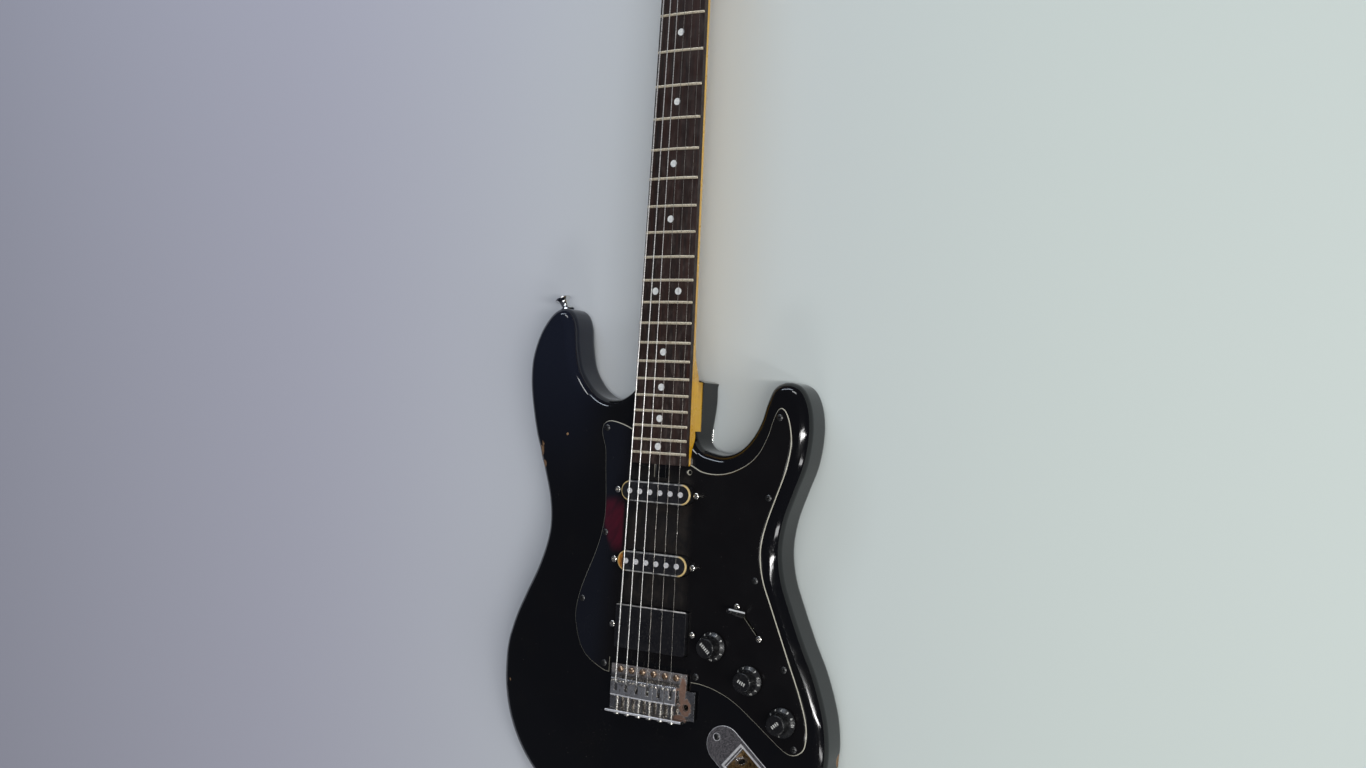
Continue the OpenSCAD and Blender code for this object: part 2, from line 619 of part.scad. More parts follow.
module nut() color([0.85, 0.82, 0.72]) difference() {
    translate([-nut_w / 2, scale_len - 0.3, z_neck]) cube([nut_w, 3.3, z_board + 2.6 - z_neck]);
    for (i = [0 : 5]) translate([nut_x(i) - string_r[i] - 0.12, scale_len - 2, z_string_nut - sag(nut_x(i)) - string_r[i] - 0.12])
        cube([2 * string_r[i] + 0.24, 8, 6]);
    translate([-nut_w, scale_len + 1.4, z_board + 2.6]) rotate([-32, 0, 0]) cube([2 * nut_w, 8, 4]);
}

module truss_rod() color([0.4, 0.4, 0.4]) difference() {
    union() {
        translate([0, board_end + 4, z_rod]) rotate([-90, 0, 0]) cylinder(h = scale_len - board_end - 28, r = rod_r);
        translate([0, board_end - 5, z_rod]) rotate([-90, 0, 0]) cylinder(h = 4.8, r = 3.3);
        translate([0, board_end - 1, z_rod]) rotate([-90, 0, 0]) cylinder(h = 6, r = rod_r);
    }
    translate([0, board_end - 5 - cut, z_rod]) rotate([-90, 0, 0]) cylinder(h = 5, r = 1.6, $fn = 6);
}

tree_h = 6.5;
module tree_frame(i) {
    translate([(string_x(2 + 2 * i, tree_y[i]) + string_x(3 + 2 * i, tree_y[i])) / 2, tree_y[i], z_head]) children();
}
tree_y = [scale_len + 78, scale_len + 52];

module string_trees() color([0.7, 0.7, 0.68]) for (i = [0 : 1]) tree_frame(i) difference() {
    union() {
        cylinder(h = tree_h, r = 2.4);
        translate([-5.4, -2, tree_h - 1.1]) cube([10.8, 4, 1.1]);
    }
    translate([0, 0, tree_h]) screw_hole(2.2, 1.1, tree_h + 8);
}

// ---------- Pickups ----------

module single_coil_covers() color([0.05, 0.05, 0.05]) for (y = coil_ys) translate([0, y, z_coil_top - coil_cover_h]) difference() {
    linear_extrude(coil_cover_h) stadium(coil_cover_l, coil_cover_w);
    translate([0, 0, -cut]) linear_extrude(coil_cover_h - cover_wall + cut)
        stadium(coil_cover_l - 2 * cover_wall, coil_cover_w - 2 * cover_wall);
    for (i = [0 : 5]) translate([pole_x(i), 0, 0]) cylinder(h = coil_cover_h + cut, r = pole_r + 0.1);
}

function pole_x(i) = (i - 2.5) * pole_span / 5;

// Lower flange with ears, upper flange and the winding between them
module single_coil_windings() color([0.45, 0.22, 0.1]) for (y = coil_ys) translate([0, y, z_flange]) difference() {
    union() {
        linear_extrude(flange_t) stadium(coil_screw_span + 8, 9);
        linear_extrude(flange_t) stadium(64, 14.6);
        translate([0, 0, flange_t]) linear_extrude(9.3) stadium(61, 11.6);
        translate([0, 0, flange_t + 9.3]) linear_extrude(1.4) stadium(64, 14.6);
    }
    for (i = [0 : 5]) translate([pole_x(i), 0, -cut]) cylinder(h = 20, r = pole_r);
    for (s = [-1, 1]) translate([s * coil_screw_span / 2, 0, -cut]) cylinder(h = 8, r = 1.45);
}

module pole_magnets() color([0.55, 0.55, 0.55]) for (y = coil_ys, i = [0 : 5])
    translate([pole_x(i), y, z_coil_top + pole_proud - pole_l]) cylinder(h = pole_l, r = pole_r);

module bridge_pickup_cover() color([0.05, 0.05, 0.05]) translate([0, block_y, z_block_top - 14]) difference() {
    linear_extrude(14) rounded(block_cover_l, block_cover_w, 2);
    translate([0, 0, -cut]) linear_extrude(14 - cover_wall + cut)
        rounded(block_cover_l - 2 * cover_wall, block_cover_w - 2 * cover_wall, 1);
}

z_block_base = z_block_top - 14;
module bridge_pickup_coils() color([0.35, 0.2, 0.1]) translate([0, block_y, z_block_base]) {
    translate([0, 0, -1.6]) linear_extrude(1.5) difference() {
        union() {
            rounded(block_cover_l, block_cover_w, 2);
            rounded(block_screw_span + 8, 12, 2);
        }
        for (s = [-1, 1]) translate([s * block_screw_span / 2, 0]) circle(1.45);
    }
    for (s = [-1, 1]) translate([0, s * 8.7, 0.1]) linear_extrude(12) stadium(66, 15.6);
}

machine_r = 1.4;
block_screw_proud = 1.7;
module machine_screws() color([0.62, 0.6, 0.55]) {
    for (y = coil_ys, s = [-1, 1]) translate([s * coil_screw_span / 2, y, z_guard + coil_screw_proud]) screw(2.8, machine_r, z_guard + coil_screw_proud - z_flange + 4);
    for (s = [-1, 1]) translate([s * block_screw_span / 2, block_y, z_guard + block_screw_proud]) screw(2.8, machine_r, z_guard + block_screw_proud - z_block_base + 5);
    for (s = [-1, 1]) switch_frame() translate([s * switch_screw_half, 0, z_guard + 1.45]) screw(2.8, machine_r, guard_t + 5);
}

module height_sleeves() color([0.2, 0.2, 0.2]) {
    for (y = coil_ys, s = [-1, 1]) translate([s * coil_screw_span / 2, y, z_flange + flange_t]) ring(2.6, machine_r + 0.2, z_top - z_flange - flange_t);
    for (s = [-1, 1]) translate([s * block_screw_span / 2, block_y, z_block_base - 0.1]) ring(2.6, machine_r + 0.2, z_top - z_block_base + 0.1);
}

// ---------- Controls ----------

module switch_frame() {
    translate([slot_point[0], slot_point[1], 0]) rotate(slot_turn) children();
}

switch_w = 13;
switch_half = slot_half_l + 1.1;
switch_depth = lever_depth - guard_t + 5;
module selector_switch() color([0.5, 0.5, 0.48]) switch_frame() translate([0, 0, z_top]) difference() {
    union() {
        translate([0, 0, -1.5]) linear_extrude(1.5) rounded(2 * switch_screw_half + 8, switch_w, 3);
        translate([-switch_half, -switch_w / 2, -switch_depth]) cube([2 * switch_half, switch_w, switch_depth - 1]);
    }
    translate([1.5 - switch_half, -2.6, -switch_depth + 1.5]) cube([2 * switch_half - 3, 5.2, switch_depth + 2]);
    translate([0, 0, lever_pivot_z - z_top]) rotate([90, 0, 0]) cylinder(h = 2 * switch_w, r = 1.5 + run_gap, center = true);
    for (s = [-1, 1]) translate([s * switch_screw_half, 0, -4]) cylinder(h = 8, r = 1.45);
}

module lever_frame() {
    switch_frame() translate([0, 0, lever_pivot_z]) rotate([0, -lever_lean, 0]) children();
}

lever_l = lever_depth + 19;
module switch_lever() color([0.6, 0.6, 0.6]) lever_frame() {
    translate([-2.5, -0.6, 0]) cube([5, 1.2, lever_l - 8]);
    rotate([90, 0, 0]) cylinder(h = 4.6, r = 3, center = true);
    rotate([90, 0, 0]) cylinder(h = switch_w - 0.6, r = 1.5, center = true);
}

tip_h = 18;
module switch_tip() color([0.03, 0.03, 0.03]) lever_frame() difference() {
    translate([0, 0, lever_l - tip_h + 2]) cylinder(h = tip_h, r1 = 4, r2 = 2.3);
    translate([-2.5, -0.6, lever_l - tip_h - cut]) cube([5, 1.2, tip_h - 7 + cut]);
}

module control_pots() color([0.6, 0.58, 0.5]) for (p = knob_points) translate([p[0], p[1], 0]) difference() {
    union() {
        translate([0, 0, z_top - pot_drop - pot_h]) cylinder(h = pot_h, r = pot_r);
        translate([0, 0, z_top - pot_drop - e]) cylinder(h = pot_drop + guard_t + 3, r = bushing_r);
        translate([0, 0, z_top - pot_drop]) cylinder(h = pot_drop, r = 6.8);
    }
    translate([0, 0, z_top - pot_drop - 5]) cylinder(h = 20, r = shaft_r + run_gap);
}

module tone_capacitor() color([0.7, 0.35, 0.1])
    translate([(knob_points[0][0] + knob_points[1][0]) / 2, (knob_points[0][1] + knob_points[1][1]) / 2, z_top - pot_drop - 8])
    rotate(atan2(knob_points[1][1] - knob_points[0][1], knob_points[1][0] - knob_points[0][0])) {
        cylinder(h = 4, r = 5.5);
        for (s = [0, 180]) rotate(s) translate([5, 0, 2]) rotate([0, 90, 0])
            cylinder(h = norm(knob_points[1] - knob_points[0]) / 2 - pot_r - 5.1, r = 0.4);
    }

// Leads from the pickups to the switch and on to the volume control and the jack
wire_z = z_rout + 3;
wire_routes = [
    [[20, neck_coil_y - 6, z_flange - 0.8], [24, neck_coil_y - 14, wire_z], [34, long(80), wire_z], [42, long(64), wire_z], [54, long(62), wire_z], [slot_point[0] - 12, slot_point[1] - 2, wire_z]],
    [[22, middle_coil_y - 6, z_flange - 0.8], [30, middle_coil_y - 14, wire_z + 1], [50, long(58), wire_z + 1], [slot_point[0] - 12, slot_point[1] - 5, wire_z + 1]],
    [[26, block_y, z_block_base - 2.4], [34, block_y + 1, wire_z], [50, block_y + 8, wire_z], [slot_point[0] - 11, slot_point[1] - 9, wire_z + 1]],
    [[slot_point[0] - 3, slot_point[1] - 10, wire_z + 2], [knob_points[0][0] + 12, knob_points[0][1] + 8, wire_z], [knob_points[0][0] + 3, knob_points[0][1] + 2, z_top - pot_drop - pot_h - 0.8]]];

module hookup_wires() color([0.85, 0.85, 0.8]) for (w = wire_routes) sweep(w, 0.7, 8);

module shaft_piece(p) {
    translate([p[0], p[1], z_top - pot_drop - 4.8]) cylinder(h = z_guard + knob_h - 2.5 - z_top + pot_drop + 4.8, r = shaft_r);
}

module knob_piece(p) {
    z0 = z_guard + knob_gap;
    translate([p[0], p[1], z0]) difference() {
        rotate_extrude($fn = 64) polygon([[0, 0], [skirt_r, 0], [skirt_r, 1], [skirt_r - 3.2, 3.6], [9, 4.2],
            [8.2, knob_h - knob_gap - 0.8], [7.4, knob_h - knob_gap], [0, knob_h - knob_gap]]);
        translate([0, 0, -cut]) cylinder(h = 4 + cut - 0.5, r = bushing_r + 0.8);
        translate([0, 0, 2]) cylinder(h = knob_h - knob_gap - 4.4, r = shaft_r);
    }
}

module volume_shaft() color([0.7, 0.7, 0.7]) shaft_piece(knob_points[0]);
module neck_tone_shaft() color([0.7, 0.7, 0.7]) shaft_piece(knob_points[1]);
module middle_tone_shaft() color([0.7, 0.7, 0.7]) shaft_piece(knob_points[2]);
module volume_knob() color([0.05, 0.05, 0.05]) knob_piece(knob_points[0]);
module neck_tone_knob() color([0.05, 0.05, 0.05]) knob_piece(knob_points[1]);
module middle_tone_knob() color([0.05, 0.05, 0.05]) knob_piece(knob_points[2]);

// ---------- Jack ----------

module cup_plan(grow) {
    polygon([[-grow, cut], [-grow, -grow], [cup_deep[0] - grow, cup_deep[1] - grow],
        [cup_deep[0] + 2 + grow, cup_deep[1] - grow], [cup_l + grow, -0.8 - grow], [cup_l + grow, cut]]);
}

module cup(grow) {
    rotate([90, 0, 0]) translate([0, 0, -cup_w / 2 - grow]) linear_extrude(cup_w + 2 * grow) cup_plan(grow);
}

module jack_axis() {
    translate([cup_deep[0] / 2, 0, cup_deep[1] / 2]) rotate([0, jack_lean, 0]) children();
}
jack_lean = atan2(-cup_deep[1], cup_deep[0]);

module jack_plate() color([0.6, 0.6, 0.58]) jack_frame() difference() {
    union() {
        translate([jack_plate_l * 0.11, 0, 0]) linear_extrude(plate_thick) stadium(jack_plate_l, jack_plate_w);
        intersection() {
            cup(jack_wall);
            translate([-30, -20, -30]) cube([80, 40, 30 + plate_thick]);
        }
    }
    cup(0);
    translate([0, 0, plate_thick]) intersection() {
        translate([0, -cup_w / 2, -cut]) cube([cup_l, cup_w, 5]);
    }
    jack_axis() cylinder(h = 20, r = 4.75, center = true);
    for (p = jack_screw_points) translate([p, 0, plate_thick]) screw_hole(small_head, small_shank, small_l);
}

module jack_socket() color([0.7, 0.68, 0.6]) jack_frame() jack_axis() difference() {
    union() {
        translate([0, 0, -6]) cylinder(h = 8.6, r = 4.7);
        cylinder(h = 2.2, r = 6.4, $fn = 6);
        translate([0, 0, -3.6]) cylinder(h = 1.8, r = 6.9);
        translate([-6, -6, -16]) cube([12, 12, 11]);
    }
    translate([0, 0, -10]) cylinder(h = 20, r = jack_r);
    translate([-4, -7, -14.5]) cube([8, 14, 7]);
}

// ---------- Tremolo ----------

module bridge_plate() color([0.7, 0.7, 0.68]) difference() {
    union() {
        translate([-plate_l / 2, plate_rear, z_plate]) cube([plate_l, plate_front - plate_rear, plate_t]);
        translate([0, plate_rear, z_plate]) cube([ear_x, ear_front - plate_rear, plate_t]);
        translate([-plate_l / 2, plate_rear - lip_t, z_plate]) cube([plate_l + 1, lip_t, plate_t + lip_h]);
    }
    for (i = [0 : 5]) {
        translate([-pivot_span / 2 + i * pivot_span / 5, pivot_y, z_plate - cut]) cylinder(h = plate_t + 2 * cut, r = 2.2);
        translate([bridge_x(i), block_y0, z_plate - cut]) cylinder(h = plate_t + 2 * cut, r = 2.4);
        translate([bridge_x(i), plate_rear + cut, z_screw]) rotate([90, 0, 0]) cylinder(h = 5, r = 1.3);
    }
    for (x = [-25, 0, 25]) translate([x * 0.8, block_screw_y, z_plate_top]) screw_hole(2.6, 1.5, 10);
    translate([arm_point[0], arm_point[1], z_plate - cut]) cylinder(h = plate_t + 2 * cut, r = 3.2);
}

z_screw = z_plate_top + 4.6;
block_screw_y = -16.3;

module tremolo_block() color([0.5, 0.5, 0.5]) difference() {
    union() {
        translate([-block_half, block_y0 - block_t / 2 - 1, z_block_bottom]) cube([2 * block_half, block_t + 1, z_plate - z_block_bottom]);
        translate([arm_point[0], arm_point[1], z_plate - arm_boss_h]) cylinder(h = arm_boss_h, r = arm_boss_r);
        translate([block_half - 4, -19, z_plate - arm_boss_h]) cube([7, 4.3, arm_boss_h]);
    }
    for (i = [0 : 5]) translate([bridge_x(i), block_y0, z_block_bottom - cut]) {
        cylinder(h = z_plate - z_block_bottom + 2 * cut, r = 1.6);
        cylinder(h = 21, r = 2.3);
    }
    for (x = spring_xs) translate([x + 5.5, block_y0 + 3.4, z_block_bottom - cut]) cylinder(h = 8 + cut, r = 0.9);
    for (x = [-25, 0, 25]) translate([x * 0.8, block_screw_y, z_plate_top]) screw_hole(2.6, 1.5, 10);
    translate([arm_point[0], arm_point[1], z_plate - arm_boss_h + 1.5]) cylinder(h = arm_boss_h, r = arm_r);
}

module pivot_screws() color([0.66, 0.55, 0.33]) for (i = [0 : 5])
    translate([-pivot_span / 2 + i * pivot_span / 5, pivot_y, z_plate_top + 0.75]) difference() {
        rotate_extrude() polygon([[0, 2], [1.6, 1.7], [2.7, 0.9], [3, 0], [1.6, 0], [1.6, -18], [0, -19.5]]);
        for (a = [0, 90]) rotate(a + 20 * i) translate([0, 0, 2]) cube([3, 0.7, 1.8], center = true);
    }

// A bent-steel saddle: slotted top, front and rear legs, holes for its screws
module saddle(i) {
    top = saddle_top(i);
    translate([bridge_x(i), 0, 0]) difference() {
        union() {
            translate([-saddle_w / 2, saddle_rear, top - saddle_t]) cube([saddle_w, saddle_front - saddle_rear - 1, saddle_t]);
            translate([-saddle_w / 2, saddle_front - 1, top - 1]) rotate([0, 90, 0]) cylinder(h = saddle_w, r = 1);
            translate([-saddle_w / 2, saddle_front - 2, top - 2.4]) cube([saddle_w, 2, 1.4]);
            translate([-saddle_w / 2, saddle_rear, z_plate_top + 1.2]) cube([saddle_w, saddle_t, top - z_plate_top - 1.3]);
        }
        translate([-1.7, saddle_rear + 4.5, top - 4]) cube([3.4, saddle_front - saddle_rear - 6.9, 8]);
        translate([0, saddle_rear - cut, z_screw]) rotate([-90, 0, 0]) cylinder(h = 4, r = 1.2);
        for (s = [-1, 1]) translate([s * 3.6, saddle_front - 2.6, top - 6]) cylinder(h = 12, r = 1.2);
    }
}

module saddles() color([0.66, 0.66, 0.64]) for (i = [0 : 5]) saddle(i);

module bridge_screws() color([0.6, 0.58, 0.5]) {
    // Height screws stand on the base plate
    for (i = [0 : 5], s = [-1, 1]) translate([bridge_x(i) + s * 3.6, saddle_front - 2.6, z_plate_top])
        difference() {
            cylinder(h = saddle_top(i) - z_plate_top + 0.8, r = 1.2);
            translate([0, 0, saddle_top(i) - z_plate_top]) cylinder(h = 3, r = 0.6, $fn = 6);
        }
    // Intonation screws come through the rear lip
    for (i = [0 : 5]) translate([bridge_x(i), plate_rear - lip_t, z_screw]) rotate([90, 0, 0]) difference() {
        union() {
            translate([0, 0, saddle_rear_len]) cylinder(h = -saddle_rear_len, r = 1.2);
            cylinder(h = 1.6, r = 2.5);
        }
        translate([0, 0, 1.6]) cube([3.4, 0.7, 1.4], center = true);
    }
    for (x = [-25, 0, 25]) translate([x * 0.8, block_screw_y, z_plate_top]) screw(2.6, 1.5, 10);
}
saddle_rear_len = plate_rear - lip_t - saddle_rear - saddle_t - 1;

module intonation_springs() color([0.6, 0.6, 0.58]) for (i = [0 : 5])
    translate([bridge_x(i), saddle_rear - 0.05, z_screw]) rotate([90, 0, 0]) ring(2.1, 1.45, saddle_rear - plate_rear - 0.1);

module spring_claw() color([0.6, 0.6, 0.58]) translate([0, claw_y, spring_z]) difference() {
    union() {
        translate([-27, 0, -2.2]) cube([54, 1.6, 9]);
        for (x = spring_xs) translate([x - 2, -6, 2.5]) cube([4, 6.5, 1.6]);
        for (x = spring_xs) translate([x - 2, -6, -0.5]) cube([4, 1.4, 3.5]);
    }
    for (s = [-1, 1]) translate([s * claw_screw_x, -cut, 0]) rotate([-90, 0, 0]) cylinder(h = 4, r = 1.75);
}

module claw_screws() color([0.6, 0.58, 0.5]) for (s = [-1, 1])
    translate([s * claw_screw_x, claw_y, spring_z]) rotate([90, 0, 0]) screw_round(2.9, 1.6, cavity_end - claw_y + 20);

module screw_round(head_r, shank_r, length) {
    difference() {
        union() {
            translate([0, 0, -length]) cylinder(h = length, r = shank_r);
            cylinder(h = 2.2, r = head_r);
        }
        translate([0, 0, 2.2]) cube([2 * head_r - 1.6, 0.8, 1.8], center = true);
    }
}

// Each spring runs from the claw to the block, where its end turns up into a hole
coil_start = block_y0 + 12;
coil_end = claw_y - 14;
module tremolo_springs() color([0.6, 0.6, 0.58]) for (x = spring_xs) translate([x, 0, spring_z]) {
    translate([0, coil_start, 0]) rotate([-90, 0, 0]) ring(spring_r, spring_r - 0.9, coil_end - coil_start);
    translate([0, coil_end - e, 0]) rotate([-90, 0, 0]) cylinder(h = 0.9, r = spring_r);
    translate([0, coil_end, 0]) rotate([-90, 0, 0]) cylinder(h = claw_y - 6.3 - coil_end, r = 0.6);
    translate([0, coil_start - 0.9 + e, 0]) rotate([-90, 0, 0]) cylinder(h = 0.9, r = spring_r);
    translate([0, block_y0 + 3.4, 0]) rotate([-90, 0, 0]) cylinder(h = coil_start - block_y0 - 3.4 - 0.5, r = 0.6);
    translate([0, block_y0 + 3.4, 0]) rotate([0, 90, 0]) cylinder(h = 5.5, r = 0.6);
    translate([5.5, block_y0 + 3.4, -0.6]) cylinder(h = z_block_bottom - spring_z + 7, r = 0.6);
}

// ---------- Tuners ----------

housing_l = 16;
housing_y = -9.5;
worm_y = -5.4;
module tuner_housings() color([0.7, 0.7, 0.68]) for (i = [0 : 5]) tuner_frame(i) translate([0, 0, z_head_back - housing_h - 0.02]) difference() {
    translate([-8, housing_y, 0]) cube([16, housing_l, housing_h]);
    translate([-6.6, housing_y + 1.4, 1.2]) cube([13.2, housing_l - 2.8, housing_h - 2.4]);
    translate([0, 0, 2]) cylinder(h = housing_h, r = post_r + 0.3);
    translate([-10, worm_y, z_worm - z_head_back + housing_h]) rotate([0, 90, 0]) cylinder(h = 5, r = 2 + run_gap);
}

module tuner_bushings() color([0.72, 0.72, 0.7]) for (i = [0 : 5]) tuner_frame(i) translate([0, 0, z_head - 8]) difference() {
    union() {
        cylinder(h = 8.02, r = 4.6);
        translate([0, 0, 8.02]) cylinder(h = 1.4, r1 = 6.2, r2 = 5.4);
    }
    translate([0, 0, -cut]) cylinder(h = 12, r = post_r + run_gap);
}

module tuner_key(i) color([0.72, 0.72, 0.7]) tuner_frame(i) translate([0, worm_y, z_worm]) {
    translate([-key_reach + 6, 0, 0]) rotate([0, 90, 0]) cylinder(h = key_reach - 12.3, r = 2);
    translate([-7, 0, 0]) rotate([0, 90, 0]) cylinder(h = 12.5, r = 1.6);
    translate([-key_reach, 0, 0]) rotate([90, 0, 0]) intersection() {
        translate([0, 0, -2.6]) cylinder(h = 5.2, r = 8.6);
        translate([0, 0, -4]) linear_extrude(8) square([15, 17.2], center = true);
    }
    translate([-10.8, 0, 0]) rotate([0, 90, 0]) cylinder(h = 2.4, r = 3.4);
}

module tuner_post(i) color([0.74, 0.74, 0.72]) tuner_frame(i) difference() {
    union() {
        translate([0, 0, z_head_back - 1.3]) cylinder(h = z_head + post_top - z_head_back + 1.3, r = post_r);
        translate([0, 0, z_head_back - housing_h + 1.5]) cylinder(h = housing_h - 1.5 - 1.2, r = 2.4);
        translate([0, 0, z_worm - 1.5]) cylinder(h = 3, r = 3.4);
    }
    translate([-0.7, -5, z_head + post_top - 3.5]) cube([1.4, 10, 5]);
}

module tuner_key_1() tuner_key(0);
module tuner_key_2() tuner_key(1);
module tuner_key_3() tuner_key(2);
module tuner_key_4() tuner_key(3);
module tuner_key_5() tuner_key(4);
module tuner_key_6() tuner_key(5);
module tuner_post_1() tuner_post(0);
module tuner_post_2() tuner_post(1);
module tuner_post_3() tuner_post(2);
module tuner_post_4() tuner_post(3);
module tuner_post_5() tuner_post(4);
module tuner_post_6() tuner_post(5);

// ---------- Strings ----------

// Up through the block, over the saddle and the nut, and down to the windings on the post
wound_z = z_head + 4.4;
function string_route(i) = [
    [bridge_x(i), block_y0, z_block_bottom + 18],
    [bridge_x(i), block_y0, saddle_top(i) - 6.5],
    [bridge_x(i), saddle_front - 4.2, saddle_top(i) - 1],
    [bridge_x(i), saddle_front - 2.6, saddle_top(i) + string_r[i] + 0.1],
    [bridge_x(i), saddle_front, saddle_top(i) + string_r[i] + 0.12],
    [nut_x(i), scale_len - 0.5, z_string_nut - sag(nut_x(i))],
    [nut_x(i), scale_len + 2, z_string_nut - sag(nut_x(i))],
    [string_x(i, kink_y(i)), kink_y(i), kink_z(i)],
    [string_x(i, post_y(i) - 3), post_y(i) - 3, wound_z + 0.4],
    [string_x(i, post_y(i)) - 0.02, post_y(i) - 0.4, wound_z + 0.1]];
function kink_y(i) = i < 2 ? scale_len + 5 : tree_y[i < 4 ? 0 : 1];
function kink_z(i) = i < 2 ? z_string_nut - sag(nut_x(i)) - 0.5 : z_head + tree_h - 1.2 - string_r[i];

module strings() color([0.7, 0.68, 0.62]) for (i = [0 : 5]) {
    sweep(string_route(i), string_r[i], 8);
    translate([bridge_x(i), block_y0, z_block_bottom + 15.5]) cylinder(h = 4, r = 2);
    translate([post_x(i), post_y(i), wound_z - 2.2])
        ring(post_r + wound_gap + 2 * string_r[i] + 0.06, post_r + wound_gap - 0.05, 2.5 + string_r[i]);
}

body();
pickguard();
back_cover();
small_wood_screws();
neck();
fingerboard();
frets();
position_dots();
nut();
truss_rod();
neck_plate();
large_wood_screws();
strap_buttons();
string_trees();
single_coil_covers();
single_coil_windings();
pole_magnets();
bridge_pickup_cover();
bridge_pickup_coils();
machine_screws();
height_sleeves();
selector_switch();
switch_lever();
switch_tip();
control_pots();
tone_capacitor();
hookup_wires();
volume_shaft();
neck_tone_shaft();
middle_tone_shaft();
volume_knob();
neck_tone_knob();
middle_tone_knob();
jack_plate();
jack_socket();
spring_claw();
claw_screws();
tremolo_springs();
tuner_housings();
tuner_bushings();
tuner_key_1();
tuner_key_2();
tuner_key_3();
tuner_key_4();
tuner_key_5();
tuner_key_6();
tuner_post_1();
tuner_post_2();
tuner_post_3();
tuner_post_4();
tuner_post_5();
tuner_post_6();
strings();
pivot_screws();
bridge_plate();
tremolo_block();
saddles();
bridge_screws();
intonation_springs();
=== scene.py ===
"""A worn black electric guitar that lies on its back on a pale floor.

Lengths are in millimetres until a piece is finished, which turns them into metres.
+X is the treble side, +Y runs up the neck and +Z is the face.
"""

import json
import math

import bmesh
import bpy
from mathutils import Matrix, Vector

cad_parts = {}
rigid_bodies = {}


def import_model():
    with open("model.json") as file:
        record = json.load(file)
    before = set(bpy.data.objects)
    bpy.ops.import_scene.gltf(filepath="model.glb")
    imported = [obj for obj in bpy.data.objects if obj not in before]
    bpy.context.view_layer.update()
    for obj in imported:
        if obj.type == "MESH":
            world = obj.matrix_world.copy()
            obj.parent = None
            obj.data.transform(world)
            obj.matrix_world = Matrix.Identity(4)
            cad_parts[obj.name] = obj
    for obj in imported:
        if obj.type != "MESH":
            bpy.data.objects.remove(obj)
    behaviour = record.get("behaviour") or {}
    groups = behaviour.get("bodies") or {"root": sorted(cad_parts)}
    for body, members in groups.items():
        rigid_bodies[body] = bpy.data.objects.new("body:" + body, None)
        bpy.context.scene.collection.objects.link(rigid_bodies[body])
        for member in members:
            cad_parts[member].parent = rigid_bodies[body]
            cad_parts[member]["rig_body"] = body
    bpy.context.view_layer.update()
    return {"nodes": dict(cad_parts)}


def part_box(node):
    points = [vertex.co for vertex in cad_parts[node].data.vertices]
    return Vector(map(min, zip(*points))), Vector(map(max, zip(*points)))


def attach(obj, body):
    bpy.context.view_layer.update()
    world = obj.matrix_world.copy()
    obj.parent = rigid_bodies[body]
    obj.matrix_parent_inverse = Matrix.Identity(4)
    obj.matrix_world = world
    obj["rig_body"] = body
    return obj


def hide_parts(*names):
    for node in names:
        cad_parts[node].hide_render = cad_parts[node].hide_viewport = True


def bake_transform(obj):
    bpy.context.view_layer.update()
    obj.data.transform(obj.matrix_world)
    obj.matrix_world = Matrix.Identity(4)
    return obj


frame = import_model()
cad_nodes = frame["nodes"]

MM = 0.001

# Copies of CAD solids, in metres and degrees
WELD = 2e-6
FLAT_ANGLE, SHARP_ANGLE = 0.4, 32
EDGE_SPREAD = 1e-4
LEVEL_GAP = 2e-5

# Levels, from the rest plane up
Z_BACK, Z_TOP, Z_GUARD = 2.0, 45.0, 47.3
Z_POCKET, Z_ROUT, Z_CONTROL = 29.4, 25.0, 10.0
Z_CAVITY = 18.0
Z_HEAD = 45.4

# Places along the neck
SCALE = 648.0
BOARD_END = 183.05
HEEL_TOP = 258.05
HEEL_HALF, NUT_HALF = 28.0, 21.45
POCKET_HALF = 28.15

# Body: the rim's round fades to a small one near the heel
OUTLINE_GAP = 2.2
EDGE_ROUND, HEEL_ROUND = 11.0, 1.2
HEEL_REACH, HEEL_FADE = 30.0, 22.0

# Forearm slope: a slanting line, the side slope past it, its roll and the level that stays put
CONTOUR_FROM, CONTOUR_TO = (-150.0, 10.0), (-20.0, -100.0)
CONTOUR_SLOPE, CONTOUR_ROLL = 0.25, 20.0
CONTOUR_FLOOR = Z_BACK + 12

# Knocks in the rim, as (place, reach, depth), and where the wood shows, as (place, half-sizes)
KNOCKS = [((-131.5, 190, 38), 13, 1.3), ((-127, 176, 42), 7, 1.0), ((-156, -30, 40), 7, 0.8),
          ((136, 186, 41), 7, 0.9), ((164, -52, 12), 9, 0.9), ((-30, -148, 34), 9, 0.9),
          ((60, -147, 8), 9, 0.8)]
CHIPS = [((-128.5, 190, 38), (4.5, 12, 7)), ((-126, 176, 42), (3, 4, 3)), ((-102, 204, 45), (1.2, 1.2, 2)),
         ((-155, -28, 42), (2, 2.5, 3)), ((135, 186, 41), (2.2, 3.2, 3)), ((-30, -146, 34), (4, 3, 6)),
         ((164, -52, 12), (3, 6, 4)), ((60, -147, 8), (7, 3, 5))]

# Pickguard: its sloped edge, the switch slot's half-sizes and the pickups' openings
GUARD_SLOPE = 1.7
SLOT_HALF = (12.37, 1.2)
COIL_OPENING, BLOCK_OPENING_HALF = (70.8, 19.2), (36.1, 19.6)
SHAFT_OPENING = 9.6

# Controls
KNOB_PLACES = {"volume": (60.0, 32.6), "neck_tone": (95.8, 9.0), "middle_tone": (128.2, -20.6)}
KNOB_BASE = 48.5
SKIRT_LOW, SKIRT_HIGH = (12.3, 1.25), (9.9, 3.25)
STROKE_PITCH, STROKE_HALF = 1.95, (0.55, 1.35)
NUMBER_SIZE, NUMBER_REACH, NUMBER_LEVEL = 2.9, 11.1, 2.28
SWITCH_PLACE, SWITCH_TURN = (92.6, 56.5), -48.0
JACK_PLACE, JACK_TURN = (85.5, -57.0), -40.0
CUP_CENTRE, CUP_HALF = 12.0, (14.0, 11.5)
EMPTY_SCREW = (28.3, 177.7)

